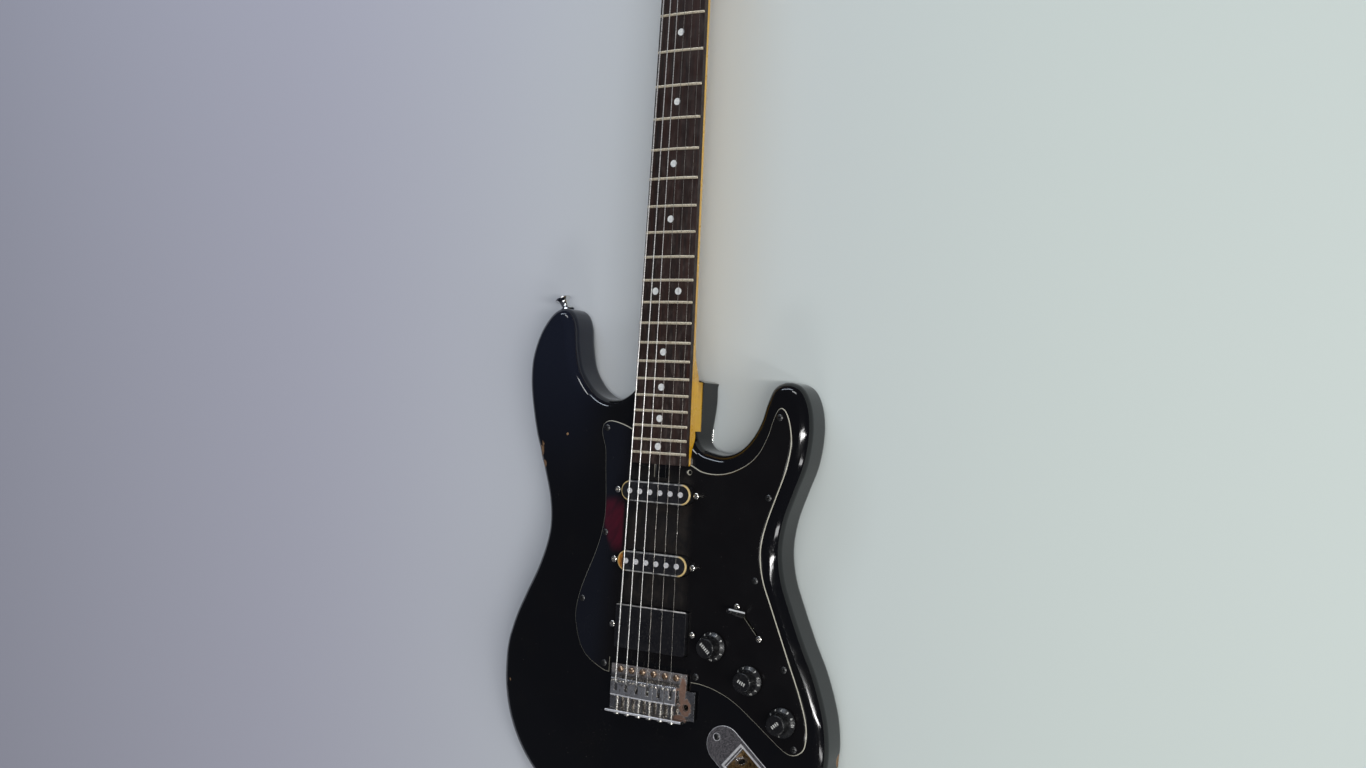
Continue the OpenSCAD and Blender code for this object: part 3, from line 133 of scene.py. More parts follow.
# Pickups
COIL_YS = (158.3, 97.0)
COIL_TOP, COIL_STRAIGHT_HALF, COIL_RIM = 55.6, 25.8, 8.8
BLOCK_Y = 39.5

# Strings, from the bass side
STRING_R = (0.58, 0.46, 0.34, 0.22, 0.17, 0.13)
BRIDGE_PITCH, NUT_PITCH = 11.0, 7.1
Z_STRING_BRIDGE, Z_STRING_NUT = 60.0, 56.7
BOARD_RADIUS = 240.0
TREE_YS = (726.0, 700.0)
FIRST_TUNER, TUNER_PITCH, TUNER_LEAN = 42.0, 25.8, 14.5
POST_R = 3.35
BALL_PLACE = (-12.0, 28.5)

# Tremolo springs
SPRING_XS = (-18, 0, 18)
SPRING_Z = 7


# ---------- Curves and closed forms ----------

def curve_point(a, b, c, d, t):
    """A point between b and c on the smooth curve through a, b, c and d."""
    return tuple(0.5 * (2 * q + (r - p) * t + (2 * p - 5 * q + 4 * r - s) * t * t
                        + (3 * q - p - 3 * r + s) * t ** 3) for p, q, r, s in zip(a, b, c, d))


def smooth_loop(points, steps):
    """A closed smooth outline through the points."""
    n = len(points)
    return [curve_point(points[i - 1], points[i], points[(i + 1) % n], points[(i + 2) % n], k / steps)
            for i in range(n) for k in range(steps)]


def thinned(loop, gap):
    """The outline without points that crowd closer than a gap."""
    kept = [loop[0]]
    for p in loop[1:]:
        if math.dist(p, kept[-1]) >= gap:
            kept.append(p)
    return kept if math.dist(kept[0], kept[-1]) >= gap else kept[:-1]


def inward(loop, i):
    """The direction into an anticlockwise outline at point i."""
    a, b = loop[i - 1], loop[(i + 1) % len(loop)]
    along = Vector((b[0] - a[0], b[1] - a[1])).normalized()
    return Vector((-along.y, along.x))


def lofted(levels):
    """A closed form: one face, extruded and moved from level to level."""
    bm = bmesh.new()
    verts = [bm.verts.new(p) for p in levels[0]]
    base = top = bm.faces.new(verts)
    place = {v: i for i, v in enumerate(verts)}
    for level in levels[1:]:
        by_spot = {tuple(v.co): i for v, i in place.items()}
        grown = bmesh.ops.extrude_face_region(bm, geom=[top])["geom"]
        if top is not base and top.is_valid:
            bmesh.ops.delete(bm, geom=[top], context="FACES_ONLY")
        place = {v: by_spot[tuple(v.co)] for v in grown if isinstance(v, bmesh.types.BMVert)}
        top = [f for f in grown if isinstance(f, bmesh.types.BMFace)][0]
        for v, i in place.items():
            v.co = level[i]
    bmesh.ops.recalc_face_normals(bm, faces=bm.faces)
    return bm


def prism(points, low, high):
    """A straight-sided block over a flat outline."""
    return lofted([[(x, y, low) for x, y in points], [(x, y, high) for x, y in points]])


def rectangle(x0, y0, x1, y1):
    """An outline from two opposite corners."""
    return [(x0, y0), (x1, y0), (x1, y1), (x0, y1)]


def stadium(cx, cy, length, width, steps=16):
    """A straight-sided outline with round ends, along X."""
    r, reach = width / 2, (length - width) / 2
    return [(cx + side * reach + r * math.cos(a), cy + r * math.sin(a))
            for side, start in ((1, -90), (-1, 90))
            for a in [math.radians(start + 180 * k / steps) for k in range(steps + 1)]]


def turned(points, place, degrees):
    """Outline points turned about their own centre and set at a place."""
    c, s = math.cos(math.radians(degrees)), math.sin(math.radians(degrees))
    return [(place[0] + x * c - y * s, place[1] + x * s + y * c) for x, y in points]


def lathe(profile, steps):
    """A turned form from (radius, height) points that start and end on the axis."""
    bm = bmesh.new()
    verts = [bm.verts.new((r, 0, z)) for r, z in profile]
    edges = [bm.edges.new(pair) for pair in zip(verts, verts[1:])]
    bmesh.ops.spin(bm, geom=verts + edges, cent=(0, 0, 0), axis=(0, 0, 1), angle=math.tau,
                   steps=steps, use_merge=True)
    bmesh.ops.remove_doubles(bm, verts=bm.verts, dist=1e-4)
    bmesh.ops.recalc_face_normals(bm, faces=bm.faces)
    return bm


def wire(paths, slots=None):
    """Round wires of (points, radius) pairs as one bmesh, with a material slot for each."""
    joined = bmesh.new()
    for k, (points, radius) in enumerate(paths):
        curve = bpy.data.curves.new("wire", "CURVE")
        curve.dimensions = "3D"
        curve.bevel_depth = radius
        curve.bevel_resolution = 2
        curve.use_fill_caps = True
        line = curve.splines.new("POLY")
        line.points.add(len(points) - 1)
        for spot, p in zip(line.points, points):
            spot.co = (*p, 1)
        holder = bpy.data.objects.new("wire", curve)
        mesh = bpy.data.meshes.new_from_object(holder)
        before = len(joined.faces)
        joined.from_mesh(mesh)
        joined.faces.ensure_lookup_table()
        if slots:
            for f in joined.faces[before:]:
                f.material_index = slots[k]
        bpy.data.objects.remove(holder)
        bpy.data.curves.remove(curve)
        bpy.data.meshes.remove(mesh)
    return joined


def coil(centre, along, radius, length, turns, steps=14):
    """Points of a helix that starts at centre and runs along a unit direction."""
    axis = Vector(along)
    side = axis.orthogonal().normalized()
    other = axis.cross(side)
    points = []
    for k in range(int(turns * steps) + 1):
        a = math.tau * k / steps
        points.append(Vector(centre) + axis * (length * k / (turns * steps))
                      + radius * (math.cos(a) * side + math.sin(a) * other))
    return points


# ---------- Finishing a piece ----------

def shade(obj, angle):
    """Smooth shading with sharp edges kept, and flat faces that stay flat."""
    mesh = obj.data
    mesh.polygons.foreach_set("use_smooth", [True] * len(mesh.polygons))
    mesh.set_sharp_from_angle(angle=math.radians(angle))
    weighted = obj.modifiers.new("weighted", "WEIGHTED_NORMAL")
    weighted.keep_sharp = True
    weighted.mode = "FACE_AREA"


def piece(name, bm, finishes, body="guitar", stands_for=(), angle=38, scale=MM):
    """An object from a bmesh, riding on its body and standing for CAD nodes."""
    if scale != 1:
        bmesh.ops.scale(bm, vec=(scale,) * 3, verts=bm.verts)
    mesh = bpy.data.meshes.new(name)
    bm.to_mesh(mesh)
    bm.free()
    obj = bpy.data.objects.new(name, mesh)
    bpy.context.scene.collection.objects.link(obj)
    for f in finishes:
        mesh.materials.append(f)
    shade(obj, angle)
    if body:
        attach(obj, body)
    if stands_for:
        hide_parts(*stands_for)
    return obj


def carve(obj, cutters):
    """Cuts each cutter, a bmesh in millimetres, out of an object's mesh."""
    helpers = []
    obj.modifiers.clear()
    for k, bm in enumerate(cutters):
        bmesh.ops.scale(bm, vec=(MM,) * 3, verts=bm.verts)
        mesh = bpy.data.meshes.new("cutter")
        bm.to_mesh(mesh)
        bm.free()
        helper = bpy.data.objects.new("cutter", mesh)
        bpy.context.scene.collection.objects.link(helper)
        helpers.append(helper)
        cut = obj.modifiers.new(f"cut_{k}", "BOOLEAN")
        cut.operation = "DIFFERENCE"
        cut.solver = "EXACT"
        cut.object = helper
    bpy.context.view_layer.update()
    result = bpy.data.meshes.new_from_object(obj.evaluated_get(bpy.context.evaluated_depsgraph_get()))
    obj.modifiers.clear()
    obj.data = result
    for helper in helpers:
        bpy.data.objects.remove(helper)


def loose_parts(bm):
    """The edges of each separate solid in a bmesh."""
    seen, groups = set(), []
    for start in bm.verts:
        if start in seen:
            continue
        seen.add(start)
        todo, edges = [start], set()
        while todo:
            v = todo.pop()
            for e in v.link_edges:
                edges.add(e)
                w = e.other_vert(v)
                if w not in seen:
                    seen.add(w)
                    todo.append(w)
        groups.append(edges)
    return groups


def refined(node, finishes, edge, wide_edge=0.0, wide_pick=None, edge_finish=0, angle=38, segments=2):
    """A merged copy of a CAD node with its sharp edges broken, which stands for that node.

    The picked wide edges take the second finish, and all other edges take edge_finish.
    """
    low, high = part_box(node)
    bm = bmesh.new()
    bm.from_mesh(cad_nodes[node].data)
    bmesh.ops.remove_doubles(bm, verts=bm.verts, dist=WELD)
    bmesh.ops.dissolve_limit(bm, angle_limit=math.radians(FLAT_ANGLE), verts=bm.verts, edges=bm.edges)
    merged = bpy.data.meshes.new("merged")
    bm.to_mesh(merged)

    def break_edges(pick, width, steps, slot_index):
        for group in loose_parts(bm):
            chosen = [e for e in group if e.is_valid and e.is_manifold
                      and e.calc_face_angle(0) > math.radians(SHARP_ANGLE) and pick(e)]
            if chosen:
                made = bmesh.ops.bevel(bm, geom=chosen, offset=width * MM, offset_type="OFFSET",
                                       segments=steps, profile=0.5, affect="EDGES", clamp_overlap=True,
                                       material=-1)
                for f in made["faces"]:
                    f.material_index = slot_index

    def past_box(v):
        return max(max(a - c, c - b) for a, c, b in zip(low, v.co, high))

    if wide_edge:
        break_edges(wide_pick, wide_edge, 4, 1)
    if edge:
        break_edges(lambda e: True, edge, segments, edge_finish)
    if max(past_box(v) for v in bm.verts) > EDGE_SPREAD:
        bm.free()
        bm = bmesh.new()
        bm.from_mesh(merged)
    bpy.data.meshes.remove(merged)
    piece(node + "_finished", bm, finishes, cad_nodes[node]["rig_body"], (node,), angle, 1)


# ---------- Finishes ----------

class Finish:
    """A procedural material, with short names for the nodes that it needs."""

    def __init__(self, name, colour, roughness, metallic=0.0, specular=0.5, coat=0.0,
                 coat_roughness=0.05):
        self.material = bpy.data.materials.new(name)
        self.material.use_nodes = True
        self.tree = self.material.node_tree
        self.shader = self.tree.nodes["Principled BSDF"]
        self.set("Base Color", (*colour, 1))
        self.set("Roughness", roughness)
        self.set("Metallic", metallic)
        self.set("Specular IOR Level", specular)
        self.set("Coat Weight", coat)
        self.set("Coat Roughness", coat_roughness)
        self.where = self.tree.nodes.new("ShaderNodeTexCoord").outputs["Object"]

    def set(self, socket, value):
        self.shader.inputs[socket].default_value = value

    def link(self, output, socket):
        self.tree.links.new(output, self.shader.inputs[socket])

    def node(self, kind, **inputs):
        n = self.tree.nodes.new(kind)
        for key, value in inputs.items():
            target = n.inputs[key.replace("_", " ")]
            if isinstance(value, bpy.types.NodeSocket):
                self.tree.links.new(value, target)
            else:
                target.default_value = value
        return n

    def noise(self, scale, detail=4.0, stretch=(1, 1, 1), shift=(0, 0, 0), warp=0.0, turn=0.0):
        turned_spot = self.node("ShaderNodeMapping", Vector=self.where, Rotation=(0, 0, turn))
        spot = self.node("ShaderNodeMapping", Vector=turned_spot.outputs[0], Scale=stretch, Location=shift)
        return self.node("ShaderNodeTexNoise", Vector=spot.outputs[0], Scale=scale, Detail=detail,
                         Roughness=0.6, Distortion=warp).outputs["Fac"]

    def cells(self, scale):
        return self.node("ShaderNodeTexVoronoi", Vector=self.where, Scale=scale).outputs["Distance"]

    def span(self, value, start, end, low=0.0, high=1.0):
        """A value carried smoothly from start..end to low..high, and held outside it."""
        n = self.node("ShaderNodeMapRange", Value=value)
        n.interpolation_type = "SMOOTHSTEP"
        n.inputs["From Min"].default_value = start
        n.inputs["From Max"].default_value = end
        n.inputs["To Min"].default_value = low
        n.inputs["To Max"].default_value = high
        return n.outputs["Result"]

    def axis(self, name):
        return self.node("ShaderNodeSeparateXYZ", Vector=self.where).outputs[name]

    def math(self, operation, a, b=0.0):
        n = self.tree.nodes.new("ShaderNodeMath")
        n.operation = operation
        for target, value in zip(n.inputs, (a, b)):
            if isinstance(value, bpy.types.NodeSocket):
                self.tree.links.new(value, target)
            else:
                target.default_value = value
        return n.outputs[0]

    def times(self, *values):
        out = values[0]
        for v in values[1:]:
            out = self.math("MULTIPLY", out, v)
        return out

    def mix(self, amount, a, b):
        n = self.tree.nodes.new("ShaderNodeMix")
        n.data_type = "RGBA"
        for target, value in zip((n.inputs[0], n.inputs[6], n.inputs[7]), (amount, a, b)):
            if isinstance(value, bpy.types.NodeSocket):
                self.tree.links.new(value, target)
            else:
                target.default_value = value if isinstance(value, float) else (*value, 1)
        return n.outputs[2]

    def spot(self, centre, size, ragged=0.35, scale=400.0):
        """1 inside an uneven ellipsoid with its centre and half-sizes in millimetres, and 0 outside."""
        c, s = [v * MM for v in centre], [1 / (v * MM) for v in size]
        near = self.node("ShaderNodeMapping", Vector=self.where, Scale=s,
                         Location=[-a * b for a, b in zip(c, s)])
        far = self.tree.nodes.new("ShaderNodeVectorMath")
        far.operation = "LENGTH"
        self.tree.links.new(near.outputs[0], far.inputs[0])
        rough = self.math("MULTIPLY_ADD", self.noise(scale, 3), 2 * ragged)
        rough.node.inputs[2].default_value = -ragged
        return self.span(self.math("ADD", far.outputs["Value"], rough), 1.1, 0.9)

    def bump(self, height, distance, strength):
        n = self.node("ShaderNodeBump", Height=height, Strength=strength, Distance=distance)
        self.link(n.outputs[0], "Normal")


def most(f, values):
    """The largest of several masks."""
    out = values[0]
    for v in values[1:]:
        out = f.math("MAXIMUM", out, v)
    return out


def black_lacquer():
    """Glossy black with haze and dust, a painted navy reflection on the bass horn and bare wood in its
    chips.
    """
    f = Finish("black_lacquer", (0.004, 0.004, 0.005), 0.1, specular=0.45)
    haze = f.span(f.noise(14, 5), 0.45, 0.75)
    dust = f.times(f.span(f.noise(900, 2), 0.6, 0.74), f.span(f.noise(30, 3), 0.48, 0.7))
    specks = f.times(f.span(f.cells(200), 0.08, 0.04), f.span(f.noise(40, 2), 0.58, 0.62))
    colour = f.mix(f.times(haze, 0.5), (0.0035, 0.0035, 0.0045), (0.006, 0.0055, 0.005))
    # A painted navy reflection on the bass horn's face
    horn = f.times(f.span(f.axis("X"), -0.05, -0.1), f.span(f.axis("Y"), 0.12, 0.31))
    colour = f.mix(horn, colour, (0.009, 0.011, 0.02))
    colour = f.mix(f.times(dust, 0.35), colour, (0.04, 0.036, 0.032))
    colour = f.mix(f.times(specks, 0.45), colour, (0.13, 0.12, 0.11))
    chips = most(f, [f.spot(place, half_sizes) for place, half_sizes in CHIPS])
    grain = f.mix(f.noise(90, 4, stretch=(1, 0.15, 1)), (0.16, 0.08, 0.035), (0.36, 0.22, 0.11))
    f.link(f.mix(chips, colour, grain), "Base Color")
    rough = f.math("ADD", f.span(haze, 0, 1, 0.07, 0.16), f.times(dust, 0.3))
    f.link(f.math("MAXIMUM", rough, f.times(chips, 0.7)), "Roughness")
    scratches = f.span(f.noise(160, 3, stretch=(1, 0.04, 1), warp=0.4), 0.66, 0.72)
    f.bump(f.math("SUBTRACT", f.times(scratches, -0.3), chips), 0.0004, 0.2)
    return f.material


def guard_sheet():
    """Three-ply sheet: the pale middle ply shows wherever an edge is cut at a slope."""
    f = Finish("guard_sheet", (0.01, 0.01, 0.011), 0.25, specular=0.3)
    z = f.axis("Z")
    ply = f.times(f.span(z, 0.04582, 0.0459), f.span(z, 0.04655, 0.04647))
    x, y = f.axis("X"), f.axis("Y")

    # Dust under the strings
    under = f.times(f.span(f.math("ABSOLUTE", x), 0.036, 0.026), f.span(y, 0.05, 0.07),
                    f.span(y, 0.186, 0.17))
    streaks = f.span(f.noise(95, 6, stretch=(1, 0.6, 1), warp=1.2), 0.4, 0.66)
    fine = f.span(f.noise(1400, 2), 0.52, 0.7)

    # A red patch between the oval pickups, cut off by a slanting line
    slant = f.math("ADD", x, f.times(y, 0.35))
    rays = f.span(f.noise(75, 3, stretch=(1, 0.28, 1), turn=0.6), 0.3, 0.66, 0.25, 1.0)
    red = f.times(f.span(slant, -0.0135, -0.0075), f.span(x, -0.034, -0.0375), f.span(y, 0.1, 0.112),
                  f.span(y, 0.154, 0.142), rays)

    base = f.mix(f.noise(40, 4), (0.004, 0.0035, 0.004), (0.007, 0.0065, 0.007))
    bass_side = f.span(f.math("ADD", x, f.times(y, -0.1)), -0.04, -0.07)
    base = f.mix(bass_side, base, (0.0075, 0.0085, 0.013))
    base = f.mix(f.times(red, 0.75), base, (0.085, 0.009, 0.02))
    base = f.mix(f.times(under, streaks, 0.6), base, (0.021, 0.016, 0.013))
    base = f.mix(f.times(under, fine, 0.16), base, (0.07, 0.058, 0.048))
    specks = f.times(f.span(f.cells(250), 0.08, 0.04), f.span(f.noise(50, 2), 0.57, 0.62))
    base = f.mix(f.times(specks, 0.4), base, (0.13, 0.12, 0.11))
    cream = f.mix(f.noise(200, 3), (0.62, 0.6, 0.5), (0.4, 0.38, 0.31))
    f.link(f.mix(ply, base, cream), "Base Color")
    rough = f.span(f.noise(25, 4), 0.35, 0.7, 0.17, 0.3)
    f.link(f.math("ADD", rough, f.times(under, 0.3)), "Roughness")
    f.bump(f.noise(500, 3, stretch=(1, 0.5, 1)), 0.00012, 0.3)
    return f.material


def worn_plastic(name, dark, grey, rough, fleck=700.0):
    """Dark moulded plastic with grey flecks of dust."""
    f = Finish(name, dark, rough)
    f.link(f.mix(f.times(f.span(f.noise(fleck, 3), 0.5, 0.75), 0.6), dark, grey), "Base Color")
    f.link(f.span(f.noise(80, 4), 0.3, 0.7, rough * 0.8, rough * 1.4), "Roughness")
    f.bump(f.noise(900, 2), 0.0001, 0.2)
    return f.material


def coil_cover_plastic():
    """Black moulded cover whose bass end, on the middle pickup, is worn through to orange."""
    f = Finish("coil_cover_plastic", (0.012, 0.012, 0.013), 0.32)
    x, y = f.axis("X"), f.axis("Y")
    flecks = f.times(f.span(f.noise(500, 3), 0.5, 0.75), 0.7)
    base = f.mix(flecks, (0.010, 0.010, 0.012), (0.045, 0.043, 0.045))
    worn = f.times(f.span(x, -0.0288, -0.0298), f.span(y, 0.12, 0.11))
    lines = f.span(f.noise(420, 3, stretch=(1, 0.3, 1)), 0.42, 0.62)
    amber = f.mix(lines, (0.5, 0.2, 0.03), (0.12, 0.045, 0.012))
    f.link(f.mix(worn, base, amber), "Base Color")
    f.link(f.span(f.noise(90, 4), 0.3, 0.7, 0.25, 0.45), "Roughness")
    f.bump(f.noise(700, 2), 0.0001, 0.25)
    return f.material


def cover_rim():
    """The top edge of a pickup cover, painted pale for its wear and its highlight: grey along its sides,
    yellowed at its round ends by a painted warm reflection.
    """
    f = Finish("cover_rim", (0.3, 0.3, 0.28), 0.4)
    # The round ends take a painted warm reflection
    ends = f.span(f.math("ABSOLUTE", f.axis("X")), 0.0245, 0.029)
    # Grey along the sides: partly wear, partly a painted highlight
    highlight_and_wear = f.span(f.noise(260, 4, stretch=(1, 0.4, 1)), 0.35, 0.6)
    side = f.mix(highlight_and_wear, (0.07, 0.07, 0.075), (0.42, 0.42, 0.4))
    f.link(f.mix(ends, side, (0.62, 0.46, 0.2)), "Base Color")
    f.link(f.span(f.noise(150), 0.3, 0.7, 0.3, 0.5), "Roughness")
    return f.material


def amber_maple():
    """Lacquered maple gone amber, with a faint flame and grime in its grain."""
    f = Finish("amber_maple", (0.7, 0.36, 0.03), 0.3, coat=0.35, coat_roughness=0.08)
    grain = f.noise(150, 6, stretch=(1, 0.05, 1), warp=0.6)
    flame = f.noise(30, 3, stretch=(0.4, 1, 0.4), shift=(0.3, 0, 0))
    wood = f.mix(f.span(grain, 0.3, 0.7), (0.9, 0.5, 0.016), (0.74, 0.35, 0.008))
    wood = f.mix(f.times(f.span(flame, 0.4, 0.7), 0.3), wood, (0.85, 0.52, 0.08))
    grime = f.times(f.span(f.noise(60, 5), 0.5, 0.72), 0.35)
    f.link(f.mix(grime, wood, (0.3, 0.13, 0.02)), "Base Color")
    f.link(f.span(f.noise(50), 0.3, 0.7, 0.22, 0.4), "Roughness")
    f.bump(grain, 0.00015, 0.15)
    return f.material


def dark_rosewood():
    """Dry dark wood with open pores, and more grime towards the body."""
    f = Finish("dark_rosewood", (0.03, 0.015, 0.01), 0.5)
    grain = f.noise(260, 6, stretch=(1, 0.035, 1), warp=0.8)
    wood = f.mix(f.span(grain, 0.3, 0.68), (0.007, 0.004, 0.003), (0.03, 0.011, 0.007))
    pores = f.span(f.noise(1500, 2, stretch=(1, 0.06, 1)), 0.62, 0.7)
    wood = f.mix(f.times(pores, 0.6), wood, (0.006, 0.004, 0.003))
    streaks = f.span(f.noise(300, 4, stretch=(1, 0.35, 1)), 0.48, 0.72)
    grime = f.times(streaks, f.span(f.axis("Y"), 0.55, 0.25, 0.25, 0.6))
    f.link(f.mix(grime, wood, (0.075, 0.055, 0.048)), "Base Color")
    f.link(f.span(f.noise(120), 0.3, 0.7, 0.38, 0.6), "Roughness")
    f.bump(f.math("SUBTRACT", grain, pores), 0.0002, 0.35)
    return f.material


def metal(name, colour, stain, roughness, stained, scale=300.0, metallic=1.0):
    """Bare or plated metal with tarnish in patches."""
    f = Finish(name, colour, roughness, metallic=metallic)
    patch = f.span(f.noise(scale, 5), 0.62 - 0.25 * stained, 0.8 - 0.2 * stained)
    f.link(f.mix(f.times(patch, min(1.0, 0.4 + stained)), colour, stain), "Base Color")
    f.link(f.math("ADD", f.span(f.noise(scale * 2, 3), 0.3, 0.7, roughness * 0.7, roughness * 1.3),
                  f.times(patch, 0.25)), "Roughness")
    f.bump(patch, 0.00008, 0.2)
    return f.material


def rusted_chrome():
    """Tarnished plate: brown rust round the arm hole and along the treble end of the saddles."""
    f = Finish("rusted_chrome", (0.6, 0.58, 0.55), 0.22, metallic=1.0)
    dull = f.span(f.noise(240, 5), 0.4, 0.7)
    base = f.mix(dull, (0.62, 0.6, 0.58), (0.3, 0.27, 0.25))
    ear_specks = f.times(f.span(f.noise(1300, 3), 0.5, 0.66), f.span(f.axis("X"), 0.036, 0.041))
    base = f.mix(ear_specks, base, (0.11, 0.11, 0.12))
    warm = f.times(f.span(f.axis("Y"), -0.004, 0.0), f.span(f.noise(160, 4), 0.35, 0.65), 0.5)
    base = f.mix(warm, base, (0.62, 0.46, 0.42))
    rust = most(f, [f.spot((37.9, -22.5, 49), (6, 7.5, 9), 0.5, 500),
                    f.spot((34.5, -9, 50), (3.4, 12, 9), 0.5, 500),
                    f.spot((33, -33, 50), (6, 4, 6), 0.6, 500)])
    brown = f.mix(f.noise(900, 3), (0.05, 0.02, 0.008), (0.24, 0.09, 0.035))
    f.link(f.mix(f.times(rust, 0.85), base, brown), "Base Color")
    front = f.span(f.axis("Y"), -0.004, 0.0)
    plated = f.math("SUBTRACT", 0.97, f.times(rust, 0.65))
    f.link(f.math("SUBTRACT", plated, f.times(front, 0.22)), "Metallic")
    f.link(f.math("ADD", f.span(dull, 0, 1, 0.14, 0.34), f.times(rust, 0.4)), "Roughness")
    f.bump(f.math("ADD", f.times(rust, f.noise(1500, 3)), f.times(f.noise(1200, 2), 0.3)), 0.0002, 0.4)
    return f.material


def speckled_plate():
    """Plating gone to grey specks, a brown and gold stain in the cup, and a pale border round the cup that
    is a painted highlight.
    """
    f = Finish("speckled_plate", (0.2, 0.2, 0.21), 0.4, metallic=0.6)
    fine = f.span(f.noise(1500, 3), 0.4, 0.62)
    grey = f.mix(fine, (0.03, 0.03, 0.034), (0.27, 0.255, 0.27))
    moved = f.node("ShaderNodeMapping", Vector=f.where, Location=[-v * MM for v in (*JACK_PLACE, 0)])
    level = f.node("ShaderNodeMapping", Vector=moved.outputs[0], Rotation=(0, 0, -math.radians(JACK_TURN)))
    own = f.node("ShaderNodeSeparateXYZ", Vector=level.outputs[0])
    lengthwise = f.math("ABSOLUTE", f.math("SUBTRACT", own.outputs["X"], CUP_CENTRE * MM))
    past_end = f.math("SUBTRACT", lengthwise, CUP_HALF[0] * MM)
    past_side = f.math("SUBTRACT", f.math("ABSOLUTE", own.outputs["Y"]), CUP_HALF[1] * MM)
    past = f.math("MAXIMUM", past_end, past_side)
    # A painted highlight round the cup's lip
    border = f.times(f.span(past, -0.0003, 0.0), f.span(past, 0.0021, 0.0017),
                     f.span(f.axis("Z"), 0.0455, 0.0459))
    grey = f.mix(f.times(border, f.span(f.noise(500, 3), 0.3, 0.55, 0.7, 1)), grey, (0.86, 0.85, 0.86))
    depth = f.span(f.axis("Z"), 0.0446, 0.0436)
    swirl = f.span(f.noise(190, 4, warp=2.5), 0.38, 0.62)
    gold = f.mix(swirl, (0.045, 0.026, 0.012), (0.34, 0.22, 0.09))
    f.link(f.mix(depth, grey, gold), "Base Color")
    f.link(f.span(fine, 0, 1, 0.55, 0.32), "Roughness")
    f.bump(fine, 0.0001, 0.4)
    return f.material


def block_plastic():
    """The closed pickup's cover, with a painted highlight along the top edge on its neck side, brighter
    towards the treble end.
    """
    f = Finish("block_plastic", (0.008, 0.008, 0.01), 0.3)
    base = f.mix(f.span(f.noise(500, 3), 0.5, 0.75), (0.007, 0.007, 0.009), (0.028, 0.026, 0.025))
    # A painted highlight along the top edge on the neck side
    highlight_and_wear = f.times(f.span(f.axis("Y"), 0.0573, 0.0577), f.span(f.axis("Z"), 0.0512, 0.0516),
                     f.span(f.noise(130, 3), 0.35, 0.5, 0.35, 1), f.span(f.axis("X"), -0.03, 0.01, 0.35, 1))
    f.link(f.mix(highlight_and_wear, base, (0.62, 0.6, 0.58)), "Base Color")
    f.link(f.span(f.noise(80, 4), 0.3, 0.7, 0.24, 0.42), "Roughness")
    f.bump(f.noise(900, 2), 0.0001, 0.2)
    return f.material


def tip_plastic():
    """The selector's tip, with a painted highlight along its upper side."""
    f = Finish("tip_plastic", (0.01, 0.01, 0.011), 0.2)
    rise = f.axis("Z")

    # How far a point lies beside the tip's edge line and in front of it, both along the lever's lean
    beside = f.math("SUBTRACT", f.math("SUBTRACT", f.axis("Y"), f.times(rise, 0.2414)), 0.0516)
    facing = f.math("SUBTRACT", f.math("ADD", f.axis("X"), f.times(rise, 0.2173)), 0.09701)
    # A painted highlight along the tip's upper edge line
    ridge_highlight = f.times(f.span(beside, 0.0001, 0.0005), f.span(beside, 0.0019, 0.0014),
                    f.span(facing, 0, 0.0008))
    base = f.mix(f.span(f.noise(600, 3), 0.5, 0.75), (0.01, 0.01, 0.011), (0.05, 0.048, 0.046))
    f.link(f.mix(ridge_highlight, base, (0.75, 0.76, 0.78)), "Base Color")
    return f.material


def plain(name, colour, second, roughness, scale=300.0, metallic=0.0):
    """An even material that varies between two colours."""
    f = Finish(name, colour, roughness, metallic=metallic)
    f.link(f.mix(f.span(f.noise(scale, 4), 0.35, 0.7), colour, second), "Base Color")
    uneven = f.span(f.noise(scale * 0.5, 3), 0.3, 0.7, roughness * 0.85, min(1.0, roughness * 1.2))
    f.link(uneven, "Roughness")
    f.bump(f.noise(scale * 3, 2), 0.0001, 0.2)
    return f.material


LACQUER = black_lacquer()
GUARD = guard_sheet()
BACK_SHEET = worn_plastic("back_sheet", (0.012, 0.012, 0.013), (0.05, 0.048, 0.045), 0.28)
COVER = coil_cover_plastic()
COVER_RIM = cover_rim()
BLOCK = block_plastic()
MAPLE = amber_maple()
ROSEWOOD = dark_rosewood()
FRET = metal("fret_metal", (0.86, 0.76, 0.58), (0.4, 0.31, 0.2), 0.34, 0.45, 500, metallic=0.55)
PEARL = plain("pearl_plastic", (0.82, 0.83, 0.8), (0.6, 0.62, 0.64), 0.25, 400)
BONE = plain("nut_plastic", (0.7, 0.65, 0.48), (0.5, 0.44, 0.3), 0.4, 400)
STEEL = metal("plain_steel", (0.5, 0.48, 0.45), (0.17, 0.13, 0.1), 0.32, 0.5)
SCREW = metal("screw_steel", (0.1, 0.1, 0.1), (0.03, 0.028, 0.026), 0.4, 0.5, 700)
BRIGHT = metal("bright_screw", (0.72, 0.69, 0.63), (0.3, 0.24, 0.18), 0.22, 0.35, 800)
CHROME = metal("dull_chrome", (0.74, 0.74, 0.73), (0.34, 0.31, 0.28), 0.13, 0.3, 220)
RUSTED = rusted_chrome()
SADDLE = metal("saddle_chrome", (0.74, 0.73, 0.73), (0.12, 0.1, 0.095), 0.17, 0.5, 330, metallic=0.9)
BRASSY = metal("brassy_steel", (0.46, 0.34, 0.24), (0.12, 0.07, 0.05), 0.34, 0.7, 700)
PLATE = speckled_plate()
